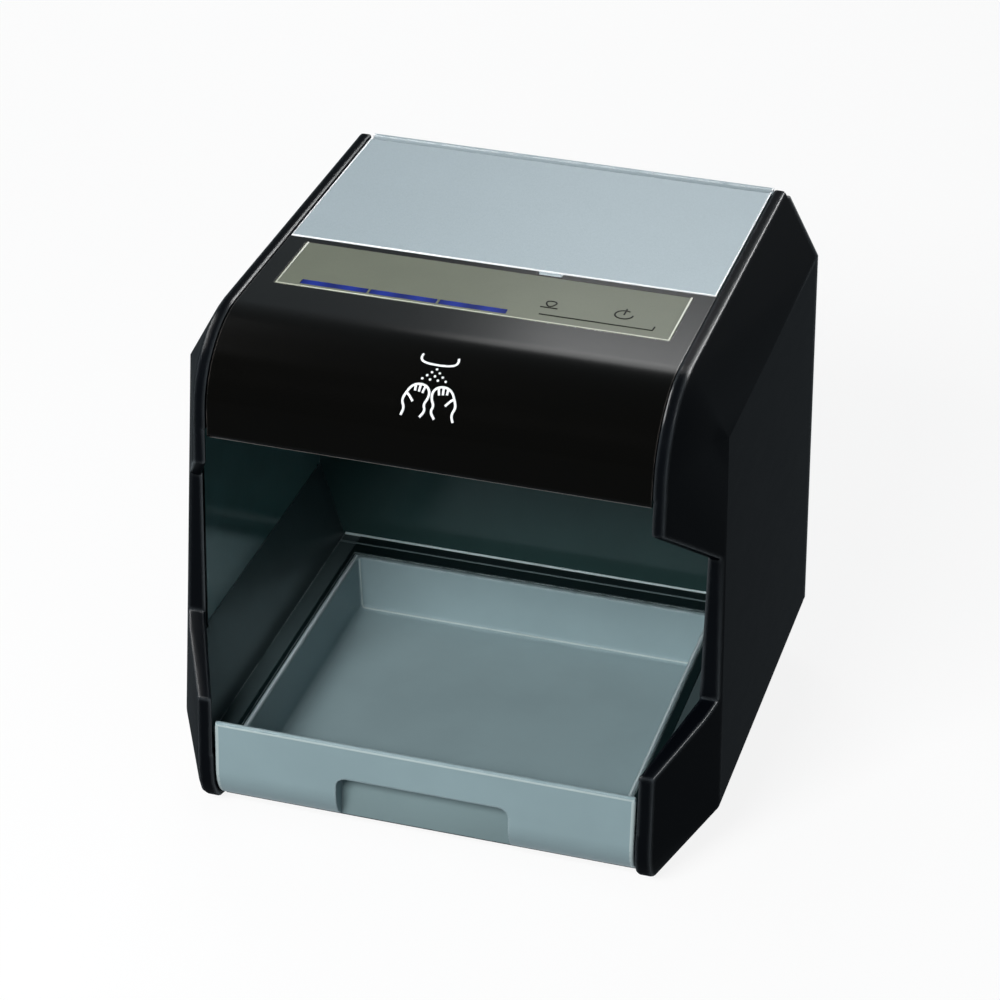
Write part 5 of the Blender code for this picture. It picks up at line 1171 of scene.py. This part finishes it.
@dataclass
class Hood(Assembly):
    """The gloss skin over the nose, its window with lit bars and marks, and the picture of use.

    Attributes:
        nose_depth, nose_rise: from its front and foot to the line that its face is read from.
        sweep_start, sweep_pitch, sweep_count: the rays that read it, in degrees above level.
        print_x, print_turn: the picture's middle, across and in degrees above level.
        print_scale: the length of one unit of the picture.
        bead, drop_radius, stand: radius of its lines and drops, and how deep they lie.
        step: the longest step along a line, in its units.
        head, palm, fingers, thumb: its outlines, in its units, with the right hand.
        hand_shift: how much closer to the middle the hands are than drawn.
        drop_rows, drop_gap, drop_top: rows, pitch and height of the spray's drops.
        edge_bead: radius of the painted highlight at the hood's lower edge.
        edge_inset, edge_rise, edge_end: from the hood's front, foot and sides to that line.
        lamp_count, lamp_pitch, lamp_size: the lamps under the bars, with radius and height.
        lamp_start: from their board's front left corner to the first lamp.
        face: length along the hood's face, place and normal, from the bottom up.
    """

    twins: Twins = (
        Twin("hood_cover", "hood_skin", HOOD),
        Twin("control_window", "window_lens", WINDOW),
        Twin("light_guide", "lit_bars", LIT_BAR),
    )
    kept: Kept = (("display_board", GREEN),)
    nose_depth: float = 30.0 * MM
    nose_rise: float = 20.0 * MM
    sweep_start: float = -10.0
    sweep_pitch: float = 0.25
    sweep_count: int = 561
    print_x: float = -0.7 * MM
    print_turn: float = 50.0
    print_scale: float = 1.22 * MM
    bead: float = 0.74 * MM
    drop_radius: float = 0.78 * MM
    stand: float = 0.45 * MM
    step: float = 0.7
    hand_shift: float = 0.6
    drop_rows: int = 4
    drop_gap: float = 3.0
    drop_top: float = 5.1
    head: Line = (
        (-6.8, 11.2), (-7.2, 9.0), (-5.6, 7.3), (0.0, 6.8), (5.6, 7.3), (7.2, 9.0), (6.8, 11.2),
    )
    palm: Line = (
        (10.6, -14.2), (9.6, -11.4), (11.0, -8.6), (9.8, -5.6), (8.6, -3.2), (6.6, -1.8),
        (4.2, -1.6), (2.2, -2.5), (1.1, -4.4), (1.3, -6.8), (2.6, -9.2), (1.6, -11.4), (3.4, -14.0),
    )
    fingers: tuple[Line, ...] = (
        ((3.2, -2.4), (3.8, -5.0)), ((5.0, -2.0), (5.2, -4.7)), ((6.8, -2.2), (6.7, -4.5)),
    )
    thumb: Line = ((9.8, -5.6), (8.6, -6.4), (6.8, -8.6))
    edge_bead: float = 0.6 * MM
    edge_inset: float = 0.25 * MM
    edge_rise: float = 0.3 * MM
    edge_end: float = 0.6 * MM
    lamp_count: int = 6
    lamp_start: Place = (12.0 * MM, 5.5 * MM, -0.2 * MM)
    lamp_pitch: float = 16.8 * MM
    lamp_size: tuple[float, float] = (1.4 * MM, 1.2 * MM)
    face: list[tuple[float, Vector, Vector]] = field(default_factory=list)

    def follow_face(self) -> None:
        """Reads the hood's curved front as points and normals by length along it."""
        surface = node_surface("hood_cover")
        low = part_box("hood_cover")[0]
        middle = Vector((self.print_x, low.y + self.nose_depth, low.z + self.nose_rise))
        travelled, before = 0.0, None
        for step in range(self.sweep_count):
            turn = math.radians(self.sweep_start + step * self.sweep_pitch)
            way = Vector((0, -math.cos(turn), math.sin(turn)))
            place, normal, _, _ = surface.ray_cast(middle + way * RAY_START, -way)
            if place is None:
                continue
            if before is not None:
                travelled += (place - before).length
            before = place
            self.face.append((travelled, place, normal))
        heading = math.radians(self.print_turn)
        wanted = Vector((0, -math.cos(heading), math.sin(heading)))
        at = max(self.face, key=lambda row: (row[1] - middle).normalized().dot(wanted))[0]
        self.face = [(length - at, place, normal) for length, place, normal in self.face]

    def on_face(self, line: Line) -> list[Vector]:
        """Lays a line of the picture on the hood's curved face.

        Args:
            line: its points, in the picture's units.

        Returns:
            The points just under the face.
        """
        made = []
        for across, up in ((x * self.print_scale, y * self.print_scale) for x, y in line):
            for row, other in zip(self.face, self.face[1:]):
                if row[0] <= up <= other[0]:
                    share = (up - row[0]) / max(other[0] - row[0], SHORTEST)
                    place = row[1].lerp(other[1], share)
                    normal = row[2].lerp(other[2], share).normalized()
                    face = Vector((self.print_x + across, place.y, place.z))
                    made.append(face - normal * self.stand)
                    break
        return made

    def hand(self, side: int) -> list[Line]:
        """The lines of the picture's left (-1) or right (1) open hand, in its units."""
        lines = [rounded_line(self.palm), *self.fingers, rounded_line(self.thumb)]
        return [[(side * (x - self.hand_shift), y) for x, y in line] for line in lines]

    def picture(self) -> None:
        """A plain picture of use: a spray head over two open hands."""
        lines = [rounded_line(self.head), *self.hand(-1), *self.hand(1)]
        mapped = [self.on_face(finely(line, self.step)) for line in lines]
        beads("picture_lines", mapped, self.bead, HOOD_PRINT)
        drops = [
            ((k - row / 2) * self.drop_gap, self.drop_top - row * self.drop_gap / 2)
            for row in range(self.drop_rows) for k in range(row + 1)
        ]
        balls("picture_drops", self.on_face(drops), self.drop_radius, HOOD_PRINT)

    def lower_edge_highlight(self) -> None:
        """A faint painted highlight where the skin ends over the cavity."""
        corners = [v.co for v in frame["nodes"]["hood_cover"].data.vertices]
        lowest = min(c.z for c in corners)
        front = min((c for c in corners if c.z < lowest + self.edge_rise), key=lambda c: c.y)
        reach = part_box("hood_cover")[1].x - self.edge_end
        y = front.y + self.edge_inset
        line = at_level(((-reach, y), (reach, y)), front.z + self.edge_rise)
        beads("hood_edge_highlight_line", [line], self.edge_bead, HOOD_EDGE_HIGHLIGHT)

    def add(self) -> None:
        """Makes the prints on the hood and its window, the painted highlights along the window's
        border and the hood's lower edge, and the lamps under the bars.
        """
        self.follow_face()
        self.picture()
        WindowMarks().draw()
        self.lower_edge_highlight()
        low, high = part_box("display_board")
        start = Vector((low.x, low.y, high.z)) + Vector(self.lamp_start)
        places = row(start, self.lamp_pitch, self.lamp_count)
        rods("board_lamps", places, *self.lamp_size, CONNECTOR)


@dataclass
class Lid(Assembly):
    """The silver flap over the tank, with a painted highlight along its edge, its pins and
    brackets.

    Attributes:
        tab_reach: how far the pull tab stands out of the flap's front edge.
        line_radius: radius of the painted highlight round the flap's top.
        line_inset, line_depth: from the flap's sides and top to the line's middle.
        strip_gap: from the flap to the fixed strip behind it, the room that its swing needs.
        strip_depth, strip_edge: the strip's thickness, and the radius of its edges.
        strip_inset: from the strip to the housing's back.
    """

    twins: Twins = (Twin("lid", "silver_flap", SILVER),)
    kept: Kept = tuple(
        (f"{part}_{side}", finish)
        for side in SIDES for part, finish in (("hinge_bracket", BASE), ("hinge_pin", STEEL))
    )
    tab_reach: float = 3.0 * MM
    line_radius: float = 0.55 * MM
    line_inset: float = 0.45 * MM
    line_depth: float = 0.35 * MM
    strip_gap: float = 3.8 * MM
    strip_depth: float = 3.4 * MM
    strip_inset: float = 0.7 * MM
    strip_edge: float = 0.3 * MM

    def add(self) -> None:
        """Makes the painted highlight round the flap, and the strip behind it with its own painted
        highlight.
        """
        low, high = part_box("lid")
        left, right = low.x + self.line_inset, high.x - self.line_inset
        front, back = low.y + self.tab_reach + self.line_inset, high.y
        level = high.z - self.line_depth
        corners = ((left, back), (left, front), (right, front), (right, back))
        beads("lid_edge_highlight_line", [at_level(corners, level)], self.line_radius, LID_EDGE_HIGHLIGHT, Body.LID)
        near, far = back + self.strip_gap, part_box("rear_cover")[1].y - self.strip_inset
        lowest, highest = (low.x, near, high.z - self.strip_depth), (high.x, far, high.z)
        block("rear_top_strip", lowest, highest, self.strip_edge, SILVER)
        ends = [at_level(((x, near), (x, far)), level) for x in (left, right)]
        beads("rear_strip_highlight_line", ends, self.line_radius, LID_EDGE_HIGHLIGHT)


@dataclass
class Cavity(Assembly):
    """The smoke liner, the roof and the ledge round the tray.

    Attributes:
        ledge_level: height of the ledge.
        gasket_inner: from the middle to the dark strip of painted shade beside the tray.
            gasket_left, gasket_right: width of its side runs.
            gasket_back, gasket_start: where its back run starts, and from the ledge's front to it.
            gasket_height, gasket_sink: how far it stands up from the ledge, and goes into it.
        gasket_edge: radius of its edges.
        highlight_reach, highlight_radius: half the length, and radius, of the painted highlight at
            the wall's foot.
        dim_radius, dim_inset: radius of the dim painted highlight on the ledge, and from the wall
            to it.
    """

    twins: Twins = (
        Twin("liner_left", "liner_left_panel", SMOKE_SIDE_LIT),
        Twin("liner_right", "liner_right_panel", SMOKE_SIDE_LIT),
        Twin("liner_back", "liner_back_panel", SMOKE),
        Twin("upper_deck", "upper_deck_panel", SMOKE),
        Twin("tray_ledge", "basin_ledge", LEDGE),
    )
    ledge_level: float = 39.0 * MM
    gasket_inner: float = 98.9 * MM
    gasket_left: float = 2.0 * MM
    gasket_right: float = 4.6 * MM
    gasket_back: float = 74.2 * MM
    gasket_start: float = 1.2 * MM
    gasket_height: float = 0.4 * MM
    gasket_sink: float = 0.2 * MM
    gasket_edge: float = 0.15 * MM
    highlight_reach: float = 109.5 * MM
    highlight_radius: float = 0.8 * MM
    dim_radius: float = 0.6 * MM
    dim_inset: float = 8.5 * MM

    def gasket(self, front: float, back: float) -> None:
        """A flat dark strip of painted shade on the ledge, along the tray's sides and behind it.

        Args:
            front: where its side runs start.
            back: where its back run ends.
        """
        inner = self.gasket_inner
        left, right = -inner - self.gasket_left, inner + self.gasket_right
        outline = [
            (inner, front), (right, front), (right, back), (left, back), (left, front),
            (-inner, front), (-inner, self.gasket_back), (inner, self.gasket_back),
        ]
        foot = self.ledge_level - self.gasket_sink
        work = bmesh.new()
        face = work.faces.new([work.verts.new((x, y, foot)) for x, y in outline])
        for part in bmesh.ops.extrude_face_region(work, geom=[face])["geom"]:
            if isinstance(part, bmesh.types.BMVert):
                part.co.z = self.ledge_level + self.gasket_height
        bmesh.ops.recalc_face_normals(work, faces=work.faces)
        round_off(work, self.gasket_edge)
        mesh = written(work, bpy.data.meshes.new("basin_gasket"))
        settle(new_object("basin_gasket", mesh), BASIN_SHADE)

    def add(self) -> None:
        """Makes the strip of painted shade, and the painted highlights along the back wall's foot.
        """
        wall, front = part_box("liner_back")[0].y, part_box("tray_ledge")[0].y
        self.gasket(front + self.gasket_start, wall - self.highlight_radius)
        level = self.ledge_level + self.gasket_height
        for name, y, radius, finish in (
            ("wall_foot_highlight_line", wall, self.highlight_radius, WALL_FOOT_HIGHLIGHT),
            ("ledge_dim_highlight_line", wall - self.dim_inset, self.dim_radius, LEDGE_DIM_HIGHLIGHT),
        ):
            ends = ((-self.highlight_reach, y), (self.highlight_reach, y))
            beads(name, [at_level(ends, level)], radius, finish)


@dataclass
class Sprayer(Assembly):
    """The nozzle and the sensors in the cavity's roof.

    Attributes:
        jet_ring, jet_count: radius of the ring of jets round the middle one, and their count.
        jet_radius: radius of a jet.
    """

    twins: Twins = (
        Twin("nozzle_body", "spray_body", PUMP_GREY),
        Twin("nozzle_tip", "spray_tip", BASE),
        Twin("sensor_lens_left", "sensor_window_left", LENS),
        Twin("sensor_lens_right", "sensor_window_right", LENS),
    )
    kept: Kept = (("sensor_board", GREEN),)
    jet_ring: float = 2.6 * MM
    jet_count: int = 6
    jet_radius: float = 0.4 * MM

    def add(self) -> None:
        """Makes the jets in the nozzle's face."""
        low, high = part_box("nozzle_tip")
        middle = (low + high) / 2
        middle.z = low.z
        places = [middle, *ring(middle, self.jet_ring, self.jet_count)]
        balls("spray_jets", places, self.jet_radius, STEEL)


@dataclass
class Tray(Assembly):
    """The drip tray that slides out.

    Attributes:
        lip_side, lip_level, lip_radius: place and radius of the painted highlights along the side
            walls' lips.
        lip_start, lip_end: from the tray's front and back to their ends.
        front_half: half the thickness of the tray's front, whose edges are full rounds.
        edge_proud: how far the painted highlight along its front edge stands out of those rounds.
        edge_pitch: height between the points of that edge's upright runs.
        edge_inset: from those runs to where the front's curve is read.
        edge_turn: how steeply the front may turn down before those runs end.
        corner, corner_radius: points and radius of the painted highlight down the basin's right
            back corner; it is mirrored down the left one.
        grip_side, grip_half, grip_edge: half width, half thickness and edges of the sheet of
            painted shade in the finger grip.
        grip_depth: how deep the finger grip is.
        grip_top, grip_foot: height of that sheet's top, and from the tray's underside to it.
    """

    twins: Twins = (Twin("drip_tray", "drip_basin", TRAY_GREY),)
    lip_side: float = 96.6 * MM
    lip_level: float = 38.4 * MM
    lip_start: float = 4.5 * MM
    lip_end: float = 1.5 * MM
    lip_radius: float = 0.7 * MM
    front_half: float = 1.5 * MM
    edge_proud: float = 0.1 * MM
    edge_pitch: float = 1.2 * MM
    edge_inset: float = 0.2 * MM
    edge_turn: float = -0.8
    corner: tuple[Place, ...] = (
        (0.09465, 0.06955, 0.0382), (0.09215, 0.06705, 0.01205),
        (0.0913, 0.0668, 0.0103), (0.0900, 0.06695, 0.00995),
    )
    corner_radius: float = 0.5 * MM
    grip_side: float = 42.4 * MM
    grip_depth: float = 9.0 * MM
    grip_half: float = 0.3 * MM
    grip_edge: float = 0.1 * MM
    grip_top: float = 33.6 * MM
    grip_foot: float = 2.0 * MM

    def front_edge_highlight(self, low: Vector, high: Vector) -> None:
        """A painted highlight along the tray's rounded front edge, which follows its curve at both
        sides.

        Args:
            low: the tray's lowest corner.
            high: its highest corner.
        """
        surface = node_surface("drip_tray")
        side, top = high.x - self.front_half, high.z - self.front_half
        upright = []
        for step in range(round((top - low.z) / self.edge_pitch)):
            level = top - step * self.edge_pitch
            start = Vector((side - self.edge_inset, low.y - self.front_half, level))
            place, normal, _, _ = surface.ray_cast(start, Vector((0, 1, 0)))
            if place is not None and normal.z > self.edge_turn:
                inward = normal.normalized() * self.front_half
                upright.append(Vector((side, place.y, place.z)) - inward)
        upright[0].z = top
        edge = [*reversed([Vector((-p.x, p.y, p.z)) for p in upright]), *upright]
        radius = self.front_half + self.edge_proud
        beads("tray_front_highlight_line", [edge], radius, TRAY_EDGE_HIGHLIGHT, Body.TRAY)

    def add(self) -> None:
        """Makes the painted highlights along the lips, the front edge and the back corners, and the
        sheet of painted shade in the finger grip.
        """
        low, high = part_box("drip_tray")
        start, end = low.y + self.lip_start, high.y - self.lip_end
        sides = (-self.lip_side, self.lip_side)
        lips = [at_level(((x, start), (x, end)), self.lip_level) for x in sides]
        beads("basin_lip_highlight_lines", lips, self.lip_radius, LIP_HIGHLIGHT, Body.TRAY)
        self.front_edge_highlight(low, high)
        crease = [Vector((-x, y, z)) for x, y, z in self.corner]
        crease += [Vector(p) for p in reversed(self.corner)]
        beads("basin_corner_highlight_line", [crease], self.corner_radius, TRAY_EDGE_HIGHLIGHT, Body.TRAY)
        y = low.y + self.grip_depth
        lowest = (-self.grip_side, y - self.grip_half, low.z + self.grip_foot)
        highest = (self.grip_side, y + self.grip_half, self.grip_top)
        block("grip_recess_shade_sheet", lowest, highest, self.grip_edge, GRIP_SHADE, Body.TRAY)


@dataclass
class TankUnit(Assembly):
    """The tank, its cap and seal.

    Attributes:
        rib_count, rib_radius: the grip ribs round the cap.
        rib_sink, rib_rise: how deep they lie in its side, and how far above its middle.
        rib_share: their length, as a share of its height.
    """

    twins: Twins = (
        Twin("tank", "tank_lower", MILKY),
        Twin("tank_top", "tank_upper", MILKY),
        Twin("tank_cap", "cap_body", CAP_WHITE),
        Twin("cap_seal", "cap_ring", RUBBER),
    )
    rib_count: int = 30
    rib_radius: float = 0.6 * MM
    rib_sink: float = 0.1 * MM
    rib_rise: float = 0.8 * MM
    rib_share: float = 0.62

    def add(self) -> None:
        """Makes the ribs round the cap."""
        low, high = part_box("tank_cap")
        middle = (low + high) / 2 + Vector((0, 0, self.rib_rise))
        places = ring(middle, (high.x - low.x) / 2 - self.rib_sink, self.rib_count, turn=0.5)
        length = (high.z - low.z) * self.rib_share
        rods("cap_ribs", places, self.rib_radius, length, CAP_WHITE, Body.CAP)


@dataclass
class Pump(Assembly):
    """The gear pump, its motor, its cradle and the two hoses."""

    twins: Twins = (
        Twin("suction_tube", "suction_hose", HOSE),
        Twin("spray_tube", "spray_hose", HOSE),
        Twin("motor", "motor_can", STEEL),
    )
    kept: Kept = (
        ("pump_housing", PUMP_GREY),
        ("pump_cover", PUMP_GREY),
        ("drive_gear", CREAM),
        ("driven_gear", CREAM),
        ("motor_shaft", STEEL),
        ("motor_cradle", BASE),
    )


@dataclass
class Electrics(Assembly):
    """The main board with its pads, the power jack and the switch.

    Attributes:
        pad_count, pad_pitch, pad_radius: the board's row of solder pads.
        pad_start: from the lower left corner of the board's back to the first pad.
    """

    twins: Twins = (
        Twin("power_jack", "jack_body", BASE),
        Twin("switch_frame", "switch_bezel", BASE),
        Twin("rocker", "rocker_cap", COVER),
    )
    kept: Kept = (("main_board", GREEN),)
    pad_count: int = 24
    pad_start: Place = (8.0 * MM, -0.2 * MM, 4.0 * MM)
    pad_pitch: float = 2.5 * MM
    pad_radius: float = 0.6 * MM

    def add(self) -> None:
        """Makes the row of solder pads along the board's lower edge."""
        low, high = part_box("main_board")
        start = Vector((low.x, high.y, low.z)) + Vector(self.pad_start)
        balls("board_pads", row(start, self.pad_pitch, self.pad_count), self.pad_radius, PADS)


@dataclass(frozen=True)
class SoftBox:
    """A soft lamp that faces the object.

    Attributes:
        name: the lamp's name.
        place: where it hangs.
        size: its width and height.
        power: its power in watts.
        shows: what the lamp is for.
    """

    name: str
    place: Place
    size: tuple[float, float]
    power: float
    shows: Shows = Shows.LIGHT

    def hang(self, aim: Place) -> None:
        """Hangs the lamp.

        Args:
            aim: the point it faces.
        """
        light = bpy.data.lights.new(self.name, "AREA")
        light.shape = "RECTANGLE"
        light.size, light.size_y = self.size
        light.energy = self.power
        holder = bpy.data.objects.new(self.name, light)
        place = Vector(self.place)
        turn = (place - Vector(aim)).to_track_quat("Z", "Y").to_matrix().to_4x4()
        holder.matrix_world = Matrix.Translation(place) @ turn
        holder.visible_glossy = self.shows is not Shows.LIGHT
        holder.visible_diffuse = self.shows is not Shows.SHEEN
        bpy.context.scene.collection.objects.link(holder)


@dataclass
class Studio:
    """The camera, the lamps, the world and the floor.

    Attributes:
        sensor, focal: the sensor's width in millimetres, and the focal length in such widths.
        yaw, pitch, roll: how far the camera stands to the right, looks down and leans.
        stand, far: where it stands, and how far it sees.
        ambient: strength of the even light from all sides.
        cool: colour of the sky's light on the object.
        floor_radius, floor_sides: the floor's radius, and how many sides it has.
        floor_glow: how much of its own white it shows.
        floor_clouds, floor_whites: width of its clouds, and how white it is, from and to.
        aim: the point that all lamps face.
        lamps: the lamps.
    """

    sensor: float = 36.0
    focal: float = 3.312
    yaw: float = 15.434
    pitch: float = 29.52
    roll: float = 1.484
    stand: Place = (0.3791, -1.3691, 0.9328)
    far: float = 50.0
    ambient: float = 0.17
    cool: Colour = (0.80, 0.93, 1.0)
    floor_radius: float = 6.0
    floor_sides: int = 64
    floor_glow: float = 0.88
    floor_clouds: float = 0.4
    floor_whites: Shares = (0.86, 0.9)
    aim: Place = (0.0, 0.0, 0.13)
    lamps: tuple[SoftBox, ...] = (
        SoftBox("key", (-0.42, -1.57, 1.31), (0.9, 0.6), 48.0),
        SoftBox("back", (-0.6, 1.4, 1.1), (0.9, 0.5), 9.0),
        SoftBox("sheen", (0.30, 1.19, 1.24), (1.5, 0.5), 29.0, Shows.SHEEN),
        SoftBox("low_sheen", (0.9, 1.5, 0.55), (0.8, 0.4), 16.0, Shows.SHEEN),
        SoftBox("side_sheen_left", (-1.0, 0.0, 1.6), (1.4, 0.6), 30.0, Shows.SHEEN),
        SoftBox("side_sheen_right", (1.0, 0.0, 1.6), (1.4, 0.6), 30.0, Shows.SHEEN),
    )

    def camera(self) -> None:
        """Stands the camera where the photograph was taken from."""
        lens = bpy.data.cameras.new("camera")
        lens.sensor_width = self.sensor
        lens.lens = self.focal * self.sensor
        lens.clip_end = self.far
        yaw, pitch, roll = (math.radians(a) for a in (self.yaw, self.pitch, self.roll))
        level = math.cos(pitch)
        back = Vector((math.sin(yaw) * level, -math.cos(yaw) * level, math.sin(pitch)))
        right = Vector((math.cos(yaw), math.sin(yaw), 0))
        up = back.cross(right)
        leaning = right * math.cos(roll) + up * math.sin(roll)
        upright = up * math.cos(roll) - right * math.sin(roll)
        turn = Matrix((leaning, upright, back)).transposed().to_4x4()
        stand = bpy.data.objects.new("camera", lens)
        stand.matrix_world = Matrix.Translation(Vector(self.stand)) @ turn
        bpy.context.scene.collection.objects.link(stand)
        bpy.context.scene.camera = stand

    def seen(self, tree: Tree) -> Sock:
        """Tells which rays show the background.

        Args:
            tree: the tree that asks.

        Returns:
            1 for a ray from the camera, off gloss or through glass, and 0 for all others.
        """
        ray = tree.node("ShaderNodeLightPath")
        direct = ray["Is Camera Ray"].maths("MAXIMUM", ray["Is Camera Ray"], ray["Is Glossy Ray"])
        return direct.maths("MAXIMUM", direct, ray["Is Transmission Ray"])

    def sky(self, tree: Tree) -> Sock:
        """White for the camera, and a cool white for all light that falls on the object."""
        direct = tree.node("ShaderNodeLightPath")["Is Camera Ray"]
        return tree.mix(direct, self.cool, (1, 1, 1))

    def world(self) -> None:
        """A soft even light, and a white background."""
        world = bpy.data.worlds.new("studio_world")
        world.use_nodes = True
        tree = Tree(world.node_tree)
        tree.group.nodes.clear()
        strength = self.ambient + self.seen(tree) * (1 - self.ambient)
        values = {"Color": self.sky(tree), "Strength": strength}
        glow = tree.node("ShaderNodeBackground", {}, values)
        tree.node("ShaderNodeOutputWorld", {}, {"Surface": glow["Background"]})
        bpy.context.scene.world = world

    def floor(self) -> None:
        """A wide pale floor that keeps the object's shadow."""
        work = bmesh.new()
        sizes = {"radius": self.floor_radius, "segments": self.floor_sides}
        bmesh.ops.create_circle(work, cap_ends=True, **sizes)
        piece = new_object("floor", written(work, bpy.data.meshes.new("floor")))
        skin = Skin("floor_pale")
        dark, pale = ((white, white, white) for white in self.floor_whites)
        colour = skin.mix(skin.noise(self.floor_clouds), dark, pale)
        matt = skin.node("ShaderNodeBsdfDiffuse", {}, {"Color": colour})["BSDF"]
        values = {"Color": self.sky(skin), "Strength": 1.0}
        glow = skin.node("ShaderNodeEmission", {}, values)["Emission"]
        values = {0: self.seen(skin) * self.floor_glow, 1: matt, 2: glow}
        mixed = skin.node("ShaderNodeMixShader", {}, values)["Shader"]
        skin.node("ShaderNodeOutputMaterial", {}, {"Surface": mixed})
        piece.data.materials.append(skin.material)
        piece.visible_diffuse = False

    def build(self) -> None:
        """Sets up the whole studio."""
        bpy.context.scene.view_settings.view_transform = "Standard"
        self.camera()
        self.world()
        self.floor()
        for lamp in self.lamps:
            lamp.hang(self.aim)


def main() -> None:
    """Builds and dresses every sub-assembly, then the studio."""
    logging.basicConfig(level=logging.INFO, format="%(message)s")
    for part in (
        Housing(), Hood(), Lid(), Cavity(), Sprayer(), Tray(), TankUnit(), Pump(), Electrics(),
    ):
        part.build()
        part.dress()
        LOG.info("%s done", type(part).__name__)
    Studio().build()


if __name__ == "__main__":
    main()
